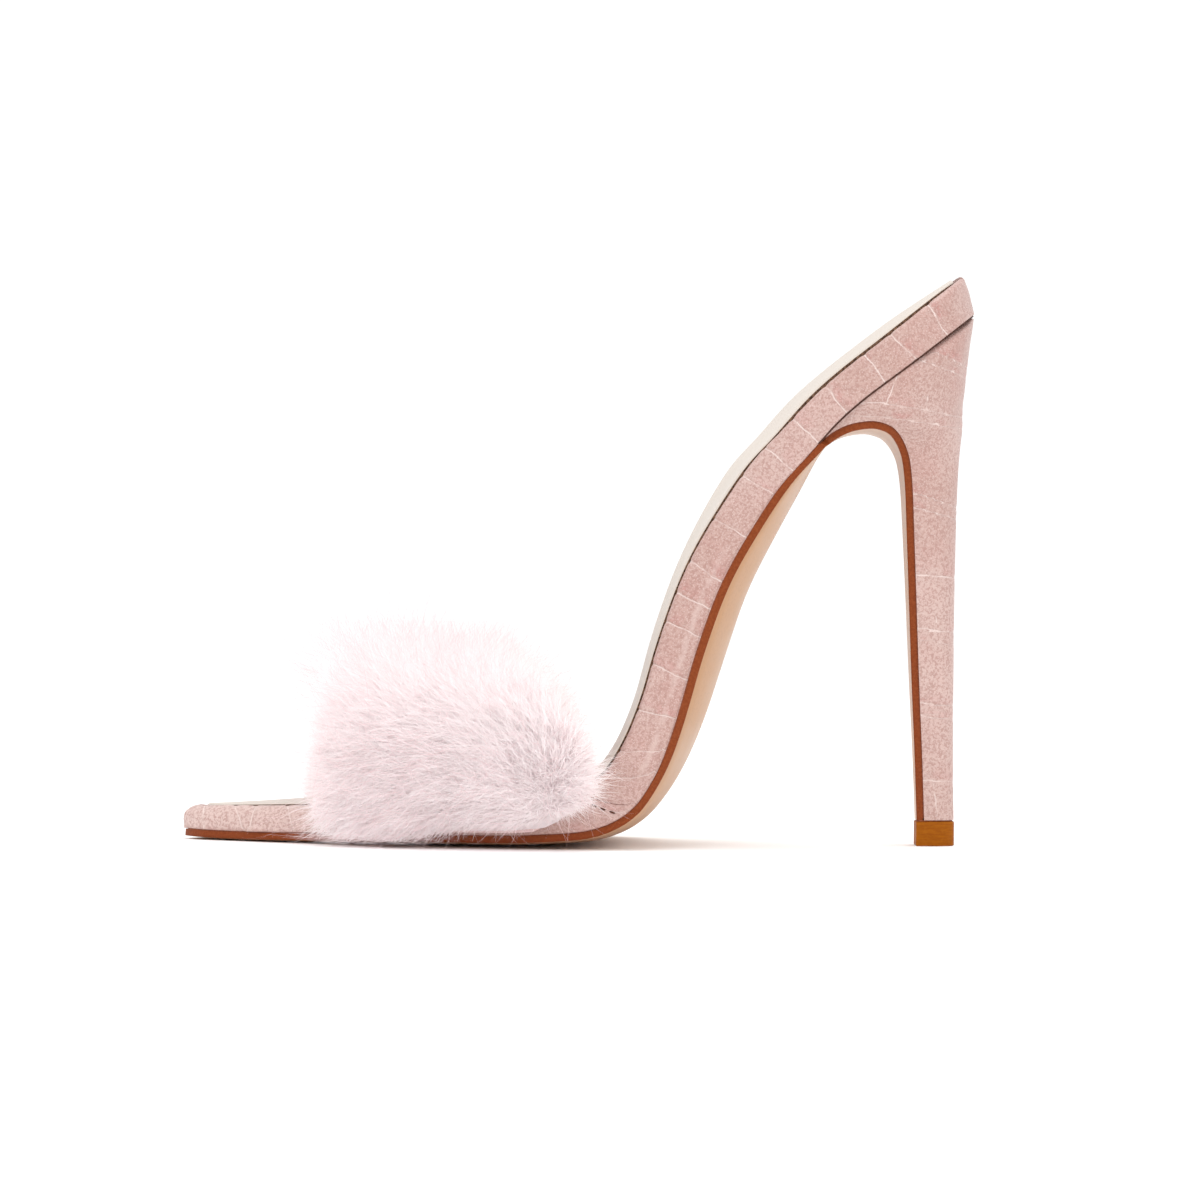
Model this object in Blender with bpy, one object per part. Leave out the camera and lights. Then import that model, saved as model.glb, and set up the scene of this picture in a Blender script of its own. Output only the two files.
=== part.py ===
"""High heel mule for the left foot: a wrapped footbed with a pointed toe, a stiletto heel and a fur vamp strap.

Metres, +Z up. The toe points along -X and the outer (lateral) side faces -Y. The origin is on the floor,
under the middle of the sole's flat tread spot.
"""

import math
from collections import namedtuple

import bmesh
import bpy
import numpy as np

# Driving sizes of the last and the sole
SOLE_RUN = 0.1879  # toe tip to the rear end of the seat, measured along the floor
SEAT_RISE = 0.1248  # height of the seat's rear end above the sole's top face at the tread
BALL_WIDTH = 0.0770
TREAD_SHARE = 0.328  # where the tread spot's middle lies along the sole's run
TOE_TIP_RADIUS = 0.0060
SEAT_END_RADIUS = 0.0215
BELLY_DEPTH = 0.0067  # how far the middle of the waist hangs below its edges
ARCH_TILT = 0.0034  # how far the inner edge of the waist stands above the outer one
SEAT_RAKE = 0.42  # how far the seat's end face leans back, as a share of its height
SEAT_RAKE_RUN = 0.0300
EVENING = 0.0050  # reach over which the sole line's bends are evened out

# Footbed, sole and insole
SOLE_THICKNESS = 0.0015
SOLE_INSET = 0.0004
SOLE_TOE_INSET = 0.0006
SOLE_EDGE_BEVEL = 0.0004
FOOTBED_THICKNESS = 0.0089
FOOTBED_DISH = 0.0015
RIM_RADIUS = 0.0015
TUCK_RADIUS = 0.0005  # the wrap's turn under the bottom edge
COVER_LAP = 0.0005  # the fore cover laps over the rear cover by its own thickness
LAP_SHARE = 0.402  # where the lap crosses the middle of the wall, along the sole line
LAP_SLANT = 0.0164  # how far the lap runs back from the rim to the sole
INSOLE_THICKNESS = 0.0010
INSOLE_PILLOW = 0.0006
INSOLE_SKIVE = 0.35  # share of its thickness left at the toe
INSOLE_SKIVE_RUN = 0.0400
INSOLE_MARGIN = 0.0012  # rim left bare beyond the rim's round
GAP = 0.0003  # between bonded pieces

# Heel
SEAT_WIDTH = 0.0490
HEEL_TIP_WIDTH = 0.0092
TOP_PIECE_HEIGHT = 0.0059
TOP_PIECE_FLARE = 0.0001
BREAST_ROUND = 2.3  # exponent of the heel's plan: 2 is an ellipse

# Vamp strap and its fur
STRAP_THICKNESS = 0.0018
STRAP_GAP = 0.0006  # between the strap's feet and the footbed's wall
STRAP_CREST_FRONT = (0.0400, 0.0330)  # run from the toe tip, height above the sole's top face
STRAP_CREST_REAR = (0.0740, 0.0370)
STRAP_BASE_FRONT = 0.0400  # lateral base, along the sole line from the toe tip
STRAP_BASE_REAR = 0.0960
STRAP_MEDIAL_SHIFT = -0.0050  # the inner ends sit nearer to the toe
STRAP_FOOT_TAPER = (0.0070, 0.0110)  # how far the feet's front and rear corners draw in
STRAP_FOOT = 0.0010  # lowest line of the strap above the sole's top face
STRAP_BULGE = 0.0020
FUR_DEPTH = 0.0095
FUR_OVERHANG = 0.0050  # fur standing past the strap's front and rear edges
FUR_FLOOR_CLEARANCE = 0.0020
LOCK_LENGTH = 0.0085
LOCK_SHOULDER = 0.62  # share of its cell's width left at a lock's shoulder
LOCK_SWAY = 0.16
LOCKS_AROUND = 24
LOCKS_ALONG = 10

Section = namedtuple("Section", "along rise lateral medial belly flat tilt lean thick dish roll")

# Shares: along of SOLE_RUN, rise of SEAT_RISE, lateral and medial of half BALL_WIDTH, belly of BELLY_DEPTH,
# flat of the half width, tilt (bottom) and lean (top) of ARCH_TILT, thick of FOOTBED_THICKNESS,
# dish of FOOTBED_DISH, roll of RIM_RADIUS.
SECTIONS = [
    Section(0.0000, 0.0060, 0.03, 0.19, 0.036, 0.30, 0.00, 0.00, 0.58, 0.2, 2.80),
    Section(0.0510, 0.0015, 0.17, 0.33, 0.063, 0.35, 0.00, 0.00, 0.66, 0.4, 2.60),
    Section(0.1310, 0.0000, 0.40, 0.53, 0.107, 0.35, 0.00, 0.00, 0.70, 0.6, 2.20),
    Section(0.2370, 0.0000, 0.65, 0.73, 0.161, 0.35, 0.00, 0.00, 0.73, 0.8, 1.70),
    Section(0.3280, 0.0000, 0.82, 0.87, 0.197, 0.35, 0.00, 0.00, 0.75, 0.8, 1.35),
    Section(0.4130, 0.0000, 0.95, 0.95, 0.209, 0.35, 0.00, 0.00, 0.80, 0.8, 1.20),
    Section(0.4770, 0.0040, 1.01, 0.94, 0.224, 0.30, 0.00, 0.00, 0.85, 0.9, 1.00),
    Section(0.5276, 0.0090, 1.00, 0.84, 0.388, 0.20, 0.05, 0.00, 0.94, 1.0, 1.00),
    Section(0.5754, 0.0351, 0.93, 0.72, 0.537, 0.10, 0.10, 0.00, 1.02, 1.0, 1.00),
    Section(0.6205, 0.1073, 0.81, 0.61, 0.687, 0.00, 0.25, 0.05, 1.02, 1.0, 1.00),
    Section(0.6563, 0.2107, 0.68, 0.53, 0.866, 0.00, 0.45, 0.12, 1.00, 1.0, 1.00),
    Section(0.6883, 0.3528, 0.61, 0.49, 1.000, 0.00, 0.55, 0.25, 0.98, 1.0, 1.00),
    Section(0.7133, 0.4658, 0.58, 0.49, 0.940, 0.00, 0.55, 0.36, 0.97, 1.0, 1.00),
    Section(0.7522, 0.5899, 0.59, 0.53, 0.761, 0.00, 0.40, 0.68, 0.96, 1.0, 1.00),
    Section(0.7823, 0.6805, 0.60, 0.57, 0.508, 0.00, 0.15, 0.80, 0.95, 0.9, 1.00),
    Section(0.8070, 0.7560, 0.62, 0.60, 0.000, 0.00, 0.00, 0.80, 0.93, 0.8, 1.00),
    Section(0.8500, 0.8230, 0.63, 0.63, 0.000, 0.00, 0.00, 0.70, 0.92, 0.7, 1.00),
    Section(0.9130, 0.8960, 0.64, 0.64, 0.000, 0.00, 0.00, 0.70, 0.95, 0.7, 1.00),
    Section(1.0060, 1.0068, 0.64, 0.64, 0.000, 0.00, 0.00, 0.15, 0.99, 0.7, 1.00),
]
MOUTH = 0.807  # where the sole leaves the footbed and turns down the heel's breast

Arch = namedtuple("Arch", "along rise")

# The sole's turn from the waist over the arch and down the breast, in shares of SOLE_RUN and SEAT_RISE.
ARCH_LINE = [
    Arch(0.829, 0.779),
    Arch(0.850, 0.791),
    Arch(0.872, 0.795),
    Arch(0.895, 0.786),
    Arch(0.911, 0.760),
    Arch(0.920, 0.725),
    Arch(0.9245, 0.669),
    Arch(0.927, 0.597),
    Arch(0.930, 0.505),
    Arch(0.936, 0.309),
    Arch(0.9415, 0.148),
]
BREAST_FOOT = 0.9445  # the breast's lower end, as a share of SOLE_RUN

Stem = namedtuple("Stem", "rise front back half wing")

# The heel's level sections: rise of SEAT_RISE, front and back of SOLE_RUN, half and wing of half SEAT_WIDTH.
# half is where the sides start to round, at front, and wing is further forward, under the seat.
STEM = [
    Stem(0.045, 0.9445, 0.9852, 0.188, 0.188),
    Stem(0.110, 0.9430, 0.9842, 0.200, 0.200),
    Stem(0.260, 0.9385, 0.9834, 0.232, 0.232),
    Stem(0.405, 0.9335, 0.9834, 0.282, 0.282),
    Stem(0.537, 0.9295, 0.9842, 0.340, 0.340),
    Stem(0.621, 0.9270, 0.9852, 0.390, 0.390),
    Stem(0.697, 0.9240, 0.9867, 0.460, 0.500),
    Stem(0.735, 0.9190, 0.9882, 0.530, 0.780),
    Stem(0.765, 0.9110, 0.9900, 0.640, 0.950),
    Stem(0.790, 0.8980, 0.9917, 0.790, 0.965),
    Stem(0.825, 0.8700, 0.9915, 0.950, 0.975),
    Stem(0.860, 0.8850, 0.9938, 0.985, 0.985),
    Stem(0.896, 0.9130, 0.9960, 0.990, 0.990),
    Stem(0.926, 0.9400, 0.9980, 0.930, 0.930),
    Stem(0.952, 0.9610, 1.0000, 0.820, 0.820),
    Stem(0.976, 0.9820, 1.0025, 0.600, 0.600),
    Stem(1.000, 1.0000, 1.0050, 0.180, 0.180),
]
WING_START = 0.790  # the foremost end of the uncut heel block, as a share of SOLE_RUN

COLOURS = {
    "cover": (0.86, 0.66, 0.66),
    "sole": (0.80, 0.56, 0.38),
    "insole": (0.88, 0.82, 0.76),
    "fur": (0.95, 0.87, 0.88),
    "lining": (0.90, 0.78, 0.76),
    "tip": (0.62, 0.32, 0.08),
}


def clear_scene():
    for item in list(bpy.data.objects):
        bpy.data.objects.remove(item)


def monotone_slopes(t, values):
    """Slopes of a curve through the values that never overshoots them."""
    step = np.diff(t)
    rate = np.diff(values, axis=0) / step[:, None]
    before, after = step[:-1, None], step[1:, None]
    weight_a, weight_b = 2 * after + before, after + 2 * before
    with np.errstate(divide="ignore", invalid="ignore"):
        middle = (weight_a + weight_b) / (weight_a / rate[:-1] + weight_b / rate[1:])
    middle[rate[:-1] * rate[1:] <= 0] = 0.0
    return np.vstack([rate[:1], middle, rate[-1:]])


def sample_curve(t, values, at):
    """The cubic curve through values at t, read at each of at."""
    slopes = monotone_slopes(t, values)
    k = np.clip(np.searchsorted(t, at, side="right") - 1, 0, len(t) - 2)
    width = (t[k + 1] - t[k])[:, None]
    q = ((at - t[k]) / (t[k + 1] - t[k]))[:, None]
    return (
        values[k] * (1 + 2 * q) * (1 - q) ** 2
        + slopes[k] * width * q * (1 - q) ** 2
        + values[k + 1] * q**2 * (3 - 2 * q)
        + slopes[k + 1] * width * q**2 * (q - 1)
    )


def run_to_x(share):
    """X of a share of the sole's run. The tread spot's middle is at 0."""
    return (share - TREAD_SHARE) * SOLE_RUN


def rise_to_z(share):
    return SOLE_THICKNESS + share * SEAT_RISE


def evened(rows, reach):
    """Each row averaged with its neighbours on both sides. The first and the last row stay."""
    before, after = 2 * rows[0] - rows[reach:0:-1], 2 * rows[-1] - rows[-2 : -reach - 2 : -1]
    total = np.cumsum(np.vstack([rows[:1] * 0, before, rows, after]), axis=0)
    return (total[2 * reach + 1 :] - total[: -2 * reach - 1]) / (2 * reach + 1)


class Line:
    """A smooth side-view line with further columns, read by its length from the start."""

    SAMPLES = 1200

    def __init__(self, points, columns, evening):
        points = np.array(points, float)
        knots = np.concatenate([[0], np.cumsum(np.linalg.norm(np.diff(points, axis=0), axis=1))])
        rows = np.hstack([points, np.array(columns, float)])
        fine = sample_curve(knots, rows, np.linspace(0, knots[-1], self.SAMPLES))
        fine = evened(fine, round(evening / knots[-1] * self.SAMPLES))
        lengths = np.linalg.norm(np.diff(fine[:, :2], axis=0), axis=1)
        self.rows = fine
        self.along = np.concatenate([[0], np.cumsum(lengths)])
        self.length = self.along[-1]
        self.knot_lengths = np.interp(knots, np.linspace(0, knots[-1], self.SAMPLES), self.along)

    def read(self, s):
        """All columns at each length s, carried straight on past both ends."""
        s = np.atleast_1d(np.asarray(s, float))
        inside = np.clip(s, 0, self.length)
        read = np.stack([np.interp(inside, self.along, column) for column in self.rows.T], axis=1)
        read[:, :2] += self.tangent(s) * (s - inside)[:, None]
        return read

    def tangent(self, s, reach=0.0025):
        s = np.clip(np.atleast_1d(np.asarray(s, float)), 0, self.length)
        ends = [np.clip(s + side, 0, self.length) for side in (-reach, reach)]
        low, high = (np.stack([np.interp(e, self.along, c) for c in self.rows.T[:2]], axis=1) for e in ends)
        across = high - low
        return across / np.linalg.norm(across, axis=1)[:, None]

    def normal(self, s):
        tangent = self.tangent(s)
        return np.stack([-tangent[:, 1], tangent[:, 0]], axis=1)


def sole_line():
    """The sole's top face along its middle, from the toe tip to the rear end of the seat."""
    points = [(run_to_x(row.along), rise_to_z(row.rise)) for row in SECTIONS]
    return Line(points, [row[2:] for row in SECTIONS], EVENING)


SOLE_LINE = sole_line()


def length_at_run(share):
    """How far along the sole line a share of the run lies."""
    return float(np.interp(run_to_x(share), SOLE_LINE.rows[:, 0], SOLE_LINE.along))


def edges(s):
    """Y of the footbed's outer and inner edge at each length s, rounded at the toe tip and the seat's end."""
    columns = SOLE_LINE.read(s)
    lateral, medial = columns[:, 2] * BALL_WIDTH / 2, columns[:, 3] * BALL_WIDTH / 2
    middle, half = (medial - lateral) / 2, (medial + lateral) / 2
    toe = np.clip(np.asarray(s) / TOE_TIP_RADIUS, 0, 1)
    seat = np.clip((SOLE_LINE.length - np.asarray(s)) / SEAT_END_RADIUS, 0, 1)
    half = half * np.sqrt(1 - (1 - toe) ** 2) * np.sqrt(1 - (1 - seat) ** 2)
    return middle - half, middle + half


def bottom_height(s, y):
    """Height of the sole's top face off the sole line, at each length s and sideways place y."""
    columns = SOLE_LINE.read(s)
    left, right = edges(s)
    middle, half = (left + right) / 2, np.maximum((right - left) / 2, 1e-6)
    v = np.clip((y - middle) / half, -1, 1)
    flat = columns[:, 5]
    curve = (np.maximum(np.abs(v) - flat, 0) / (1 - flat)) ** 2
    return columns[:, 4] * BELLY_DEPTH * curve + columns[:, 6] * ARCH_TILT * (v + 1) / 2


def top_height(s, y):
    """Height of the footbed's top face off the sole line, before the rim's round."""
    columns = SOLE_LINE.read(s)
    left, right = edges(s)
    middle, half = (left + right) / 2, np.maximum((right - left) / 2, 1e-6)
    v = np.clip((y - middle) / half, -1, 1)
    edge = GAP + columns[:, 8] * FOOTBED_THICKNESS + columns[:, 4] * BELLY_DEPTH
    return edge - columns[:, 9] * FOOTBED_DISH * (1 - v**2) + columns[:, 7] * ARCH_TILT * (v + 1) / 2


def edge_slant(s, reach=0.0003):
    """How much narrower the true distance to the edge is than the sideways one, for each edge."""
    low, high = edges(np.maximum(s - reach, 0)), edges(np.minimum(s + reach, SOLE_LINE.length))
    return [1 / np.sqrt(1 + ((b - a) / (2 * reach)) ** 2) for a, b in zip(low, high)]


def place(s, y, height):
    """Points at length s, sideways place y and height off the sole line. The seat's end leans back with height."""
    height = np.asarray(height)
    raked = np.clip((s - SOLE_LINE.length) / SEAT_RAKE_RUN + 1, 0, 1) ** 2
    s = s + raked * SEAT_RAKE * height
    at = SOLE_LINE.read(s)[:, :2] + SOLE_LINE.normal(s) * height[:, None]
    return np.stack([at[:, 0], np.asarray(y) * np.ones(len(at)), at[:, 1]], axis=1)


def stations(start, end, step, toe_steps=7, seat_steps=9):
    """Lengths along the sole line, closer together where the toe tip and the seat's end are round."""
    toe = [TOE_TIP_RADIUS * (1 - math.cos(math.radians(a))) for a in np.linspace(12, 90, toe_steps)]
    seat = [
        SOLE_LINE.length - SEAT_END_RADIUS * (1 - math.cos(math.radians(a)))
        for a in np.linspace(90, 6, seat_steps)
    ]
    middle = np.linspace(toe[-1], seat[0], round((seat[0] - toe[-1]) / step) + 1)[1:-1]
    full = np.array([*toe, *middle, *seat])
    return full[(full >= start) & (full <= end)]


def lap_length():
    return LAP_SHARE * SOLE_LINE.length


def shared_lengths(start, end):
    """Lengths of the sections that footbed, sole and insole share, so that their faces lie parallel."""
    lap, mouth = lap_length(), length_at_run(MOUTH)
    lengths = stations(0, SOLE_LINE.length, 0.0062)
    lengths = lengths[(np.abs(lengths - lap) > 0.0012) & (np.abs(lengths - mouth) > 0.0020)]
    lengths = np.sort(np.concatenate([lengths, [lap - 0.0002, lap + 0.0001, mouth]]))
    return lengths[(lengths >= start) & (lengths <= end)]


def new_object(name, mesh, colour, roughness):
    material = bpy.data.materials.new(name)
    material.use_nodes = True
    shader = material.node_tree.nodes["Principled BSDF"]
    shader.inputs["Base Color"].default_value = (*colour, 1)
    shader.inputs["Roughness"].default_value = roughness
    shader.inputs["Metallic"].default_value = 0.0
    material.diffuse_color = (*colour, 1)
    mesh.materials.append(material)
    item = bpy.data.objects.new(name, mesh)
    SHOE.objects.link(item)
    return item


def new_cutter(name, mesh):
    item = bpy.data.objects.new(name, mesh)
    CUTTERS.objects.link(item)
    item.hide_render = True
    item.display_type = "WIRE"
    return item


def loft(name, rings):
    """A closed mesh through rings of equally many points, with a face over each end."""
    rings = np.array(rings)
    count, size = rings.shape[:2]
    mesh = bpy.data.meshes.new(name)
    work = bmesh.new()
    points = [[work.verts.new(p) for p in ring] for ring in rings]
    for a, b in zip(points, points[1:]):
        for k in range(size):
            work.faces.new((a[k], a[(k + 1) % size], b[(k + 1) % size], b[k]))
    work.faces.new(list(reversed(points[0])))
    work.faces.new(points[-1])
    bmesh.ops.recalc_face_normals(work, faces=work.faces)
    work.to_mesh(mesh)
    work.free()
    return mesh


def shade(item, angle=35):
    item.data.shade_smooth()
    item.data.set_sharp_from_angle(angle=math.radians(angle))


def wall_lap(s, share_up):
    """The extra wall of the fore cover, and the slanted place of a wall point near the lap."""
    lap = lap_length()
    near = np.clip(1 - np.abs(s - lap) / (2.2 * LAP_SLANT), 0, 1)
    moved = s + LAP_SLANT * (0.5 - share_up) * near
    return np.where(s < lap, COVER_LAP, 0.0), moved


def widest_edge(s, share_up, side):
    """How far out the wall stands at length s, where the slant of the lap carries a wider or narrower section."""
    _, moved = wall_lap(np.array([s]), share_up)
    reach = [edges(np.array([s + k * (s - float(moved[0]))]))[side] for k in (0.0, 0.7, 1.4)]
    return max(abs(float(edge[0])) for edge in reach)


def footbed_ring(s, bottom_points=7, top_points=5, round_points=4):
    """One closed section of the footbed: its bottom, walls, rounded rims and dished top."""
    one = np.array([s])
    columns = SOLE_LINE.read(one)[0]
    left, right = (float(edge[0]) for edge in edges(one))
    slants = [float(x[0]) for x in edge_slant(one)]
    radius = min(columns[10] * RIM_RADIUS, 0.62 * columns[8] * FOOTBED_THICKNESS)
    half = (right - left) / 2
    ring = []

    def add(y, height, share_up):
        ring.append((y, height, share_up))

    def side(edge, slant, sign):
        """From the tuck under the wall up to the end of the rim's round, at one edge."""
        lap, _ = wall_lap(np.array([s]), 0.5)
        wall = edge + sign * float(lap[0]) * slant
        tuck = min(TUCK_RADIUS, half * 0.4)
        low = float(bottom_height(one, edge)[0]) + GAP
        high = float(top_height(one, edge)[0])
        rows = [
            (wall - sign * tuck * 0.3, low + TUCK_RADIUS * 0.25, 0.0),
            (wall, low + TUCK_RADIUS, 0.1),
            (wall, (low + high - radius) / 2 + TUCK_RADIUS / 2, 0.5),
        ]
        for a in np.linspace(0, math.pi / 2, round_points):
            inward = min(radius / slant, half * 0.95) * (1 - math.cos(a))
            rows.append((wall - sign * inward, high - radius * (1 - rise_share(s, radius, a)), 1.0))
        return rows

    tuck = min(TUCK_RADIUS, half * 0.4)
    for y in np.linspace(left + tuck, right - tuck, bottom_points):
        add(y, float(bottom_height(one, y)[0]) + GAP, 0.0)
    for row in side(right, slants[1], 1):
        add(*row)
    inner_right, inner_left = ring[-1][0], side(left, slants[0], -1)[-1][0]
    for y in np.linspace(inner_right, inner_left, top_points + 2)[1:-1]:
        dip = radius * (1 - rise_share(s, radius, math.pi / 2))
        add(y, float(top_height(one, y)[0]) - dip, 1.0)
    for row in reversed(side(left, slants[0], -1)):
        add(*row)
    y, height, share_up = (np.array(c) for c in zip(*ring))
    _, moved = wall_lap(np.full(len(y), s), share_up)
    return place(moved, y, height)


def rise_share(s, radius, angle):
    """How far up its round the rim has come at this angle, held down near the toe tip and the seat's end."""
    ends = min(s, SOLE_LINE.length - s)
    cover = math.sqrt(max(0.0, 1 - (1 - min(ends / radius, 1)) ** 2))
    return min(math.sin(angle), cover) if ends < radius else math.sin(angle)


def make_footbed():
    mesh = loft("footbed", [footbed_ring(s) for s in shared_lengths(0, SOLE_LINE.length)])
    shade(new_object("footbed", mesh, COLOURS["cover"], 0.45))


def outsole_ring(points_on, left, right, heights, points=7):
    """One section of the sole: where each height off its line lies, edges, and the height of its top face over y."""
    half = (right - left) / 2
    bevel = min(SOLE_EDGE_BEVEL, half * 0.3)
    y_top = np.linspace(left, right, points)
    y_low = np.linspace(right - bevel, left + bevel, points)
    top = heights(y_top)
    low = heights(y_low) - SOLE_THICKNESS
    edge_low = [top[-1] - SOLE_THICKNESS + SOLE_EDGE_BEVEL, top[0] - SOLE_THICKNESS + SOLE_EDGE_BEVEL]
    y = np.concatenate([y_top, [right], y_low, [left]])
    height = np.concatenate([top, [edge_low[0]], low, [edge_low[1]]])
    return points_on(y, height)


def arch_line():
    """The sole's top face from the mouth over the arch and down the breast, starting a little before the mouth."""
    mouth = length_at_run(MOUTH)
    lead = SOLE_LINE.read([mouth - 0.012, mouth - 0.006, mouth])[:, :2]
    arch = [(run_to_x(row.along), rise_to_z(row.rise)) for row in ARCH_LINE]
    foot = [(run_to_x(BREAST_FOOT), TOP_PIECE_HEIGHT + GAP)]
    points = [*lead, *arch, *foot]
    return Line(points, [[0.0]] * len(points), EVENING / 4), 0.012


def arch_lengths(line, start):
    """Lengths of the sole's sections past the mouth: close together round the arch, wider down the breast."""
    turn = start + np.array([0.004, 0.0075, 0.011, 0.0145, 0.018, 0.0205, 0.023, 0.0255, 0.028, 0.031, 0.035, 0.040])
    return np.concatenate([turn, np.linspace(turn[-1] + 0.008, line.length, 10)])


def stem_at(z):
    """Front, back, half width and wing half width of the heel's level section at height z."""
    rise = np.array([row.rise for row in STEM])
    rows = np.array([row[1:] for row in STEM])
    at = np.clip((z - SOLE_THICKNESS) / SEAT_RISE, rise[0], rise[-1])
    front, back, half, wing = sample_curve(rise, rows, np.array([at]))[0]
    low = HEEL_TIP_WIDTH / SEAT_WIDTH / STEM[0].half
    grow = low + (1 - low) * min(1.0, (half - STEM[0].half) / (1 - STEM[0].half) * 3)
    half_width = half * SEAT_WIDTH / 2 * grow
    return run_to_x(front), run_to_x(back), half_width, max(half_width, wing * SEAT_WIDTH / 2)


def heel_half_width(x, z):
    """Half width of the heel block at x on its level section at height z."""
    front, back, half, wing = stem_at(z)
    if x >= front:
        q = min((x - front) / (back - front), 1.0)
        return half * (1 - q**BREAST_ROUND) ** (1 / BREAST_ROUND)
    q = min((front - x) / (front - run_to_x(WING_START)), 1.0)
    return half + (wing - half) * q


def make_outsole():
    mouth = length_at_run(MOUTH)
    rings = []
    for s in shared_lengths(0, mouth):
        one = np.array([s])
        left, right = (float(edge[0]) for edge in edges(one))
        inset = min(SOLE_INSET, (right - left) * 0.1)
        _, moved = wall_lap(one, 0.0)
        moved = moved + SOLE_TOE_INSET * max(0.0, 1 - s / TOE_TIP_RADIUS)

        def heights(y, s=s):
            return bottom_height(np.full(len(y), s), y)

        def points_on(y, height, moved=moved[0]):
            return place(np.full(len(y), moved), y, height)

        rings.append(outsole_ring(points_on, left + inset, right - inset, heights))
    line, start = arch_line()
    for s in arch_lengths(line, start):
        point, normal = line.read(s)[0, :2], line.normal(s)[0]
        if s == line.length:
            normal = np.array([1.0, 0.0])
        half = heel_half_width(point[0], point[1]) - SOLE_INSET

        def points_on(y, height, point=point, normal=normal):
            return np.stack([point[0] + normal[0] * height, y, point[1] + normal[1] * height], axis=1)

        rings.append(outsole_ring(points_on, -half, half, np.zeros_like))
    shade(new_object("outsole", loft("outsole", rings), COLOURS["sole"], 0.5))


def make_insole():
    """The padded sock on the footbed, its edge standing just inside the rim."""
    rings = []
    for s in shared_lengths(0.0035, SOLE_LINE.length - 0.0028):
        one = np.array([s])
        left, right = (float(edge[0]) for edge in edges(one))
        slants = [float(x[0]) for x in edge_slant(one)]
        radius = SOLE_LINE.read(one)[0, 10] * RIM_RADIUS
        margin = radius + INSOLE_MARGIN
        ends = min(s, SOLE_LINE.length - s)
        left, right = left + margin / slants[0], right - margin / slants[1]
        if right - left < 0.003 or ends < margin:
            continue
        y = np.linspace(left, right, 7)
        v = (y - (left + right) / 2) / ((right - left) / 2)
        base = top_height(np.full(7, s), y) + GAP
        skived = INSOLE_SKIVE + (1 - INSOLE_SKIVE) * min(s / INSOLE_SKIVE_RUN, 1)
        top = base + (INSOLE_THICKNESS + INSOLE_PILLOW * (1 - np.abs(v) ** 3)) * skived
        ring_y = np.concatenate([y, y[::-1]])
        ring_h = np.concatenate([base, top[::-1]])
        _, moved = wall_lap(np.full(14, s), 1.0)
        rings.append(place(moved, ring_y, ring_h))
    shade(new_object("insole", loft("insole", rings), COLOURS["insole"], 0.6))


def prism(name, outline, half_width):
    """A cutter: a side-view outline carried straight through the shoe."""
    flat = [[(x, side * half_width, z) for x, z in outline] for side in (-1, 1)]
    return new_cutter(name, loft(name, flat))


def arch_outline(line, start):
    """The open space in front of the breast and under the arch, up to the sole's top face and a gap."""
    lengths = np.concatenate([[start - 0.010, start], arch_lengths(line, start)])
    face = line.read(lengths)[:, :2] + line.normal(lengths) * GAP
    far = run_to_x(WING_START) - 0.02
    return [*map(tuple, face), (face[-1][0], -0.01), (far, -0.01), (far, face[0][1])]


def seat_outline():
    """The space above the heel's seat face."""
    lengths = np.linspace(length_at_run(MOUTH) - 0.010, SOLE_LINE.length + 0.012, 30)
    face = SOLE_LINE.read(lengths)[:, :2]
    top = face[-1][1] + 0.05
    return [*map(tuple, face), (face[-1][0], top), (face[0][0], top)]


def heel_ring(z, sides=3, rounds=9):
    """One level section of the uncut heel block."""
    front, back, half, wing = stem_at(z)
    start = run_to_x(WING_START)
    turn = np.linspace(0, math.pi / 2, rounds)
    x = np.concatenate([np.linspace(start, front, sides + 1)[:-1], front + (back - front) * np.sin(turn)])
    y = np.array([heel_half_width(value, z) for value in x])
    y[-1] = 0.0
    near = [(a, -b, z) for a, b in zip(x, y)]
    far = [(a, b, z) for a, b in zip(x, y)][:-1]
    return near + far[::-1]


def make_heel():
    low = TOP_PIECE_HEIGHT + GAP
    heights = np.concatenate(
        [
            np.linspace(low, rise_to_z(0.69), 11),
            np.linspace(rise_to_z(0.715), rise_to_z(0.84), 8),
            np.linspace(rise_to_z(0.86), rise_to_z(1.0), 8),
        ]
    )
    block = new_object("heel", loft("heel", [heel_ring(z) for z in heights]), COLOURS["cover"], 0.45)
    line, start = arch_line()
    cutters = [
        prism("arch_cutter", arch_outline(line, start), SEAT_WIDTH),
        prism("seat_cutter", seat_outline(), SEAT_WIDTH),
    ]
    for cutter in cutters:
        cut = block.modifiers.new(cutter.name, "BOOLEAN")
        cut.operation = "DIFFERENCE"
        cut.solver = "EXACT"
        cut.object = cutter
    shade(block)


def make_top_piece():
    """The heel's lift: the stem's lowest section with the sole's end, carried down to the floor."""
    front, back, half, _ = stem_at(TOP_PIECE_HEIGHT)
    front -= SOLE_THICKNESS
    turn = np.linspace(0, math.pi / 2, 11)
    x = np.concatenate([[front], front + SOLE_THICKNESS + (back - front - SOLE_THICKNESS) * np.sin(turn)])
    y = np.concatenate([[half], half * np.cos(turn) ** (2 / BREAST_ROUND)])
    y[-1] = 0.0
    x, y = x + TOP_PIECE_FLARE * np.sign(x - x.mean()), y + TOP_PIECE_FLARE * (y > 0)
    plan = [*zip(x, -y), *zip(x[-2::-1], y[-2::-1])]
    rings = [[(a, b, z) for a, b in plan] for z in (0.0, TOP_PIECE_HEIGHT)]
    shade(new_object("top_piece", loft("top_piece", rings), COLOURS["tip"], 0.5))


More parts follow.
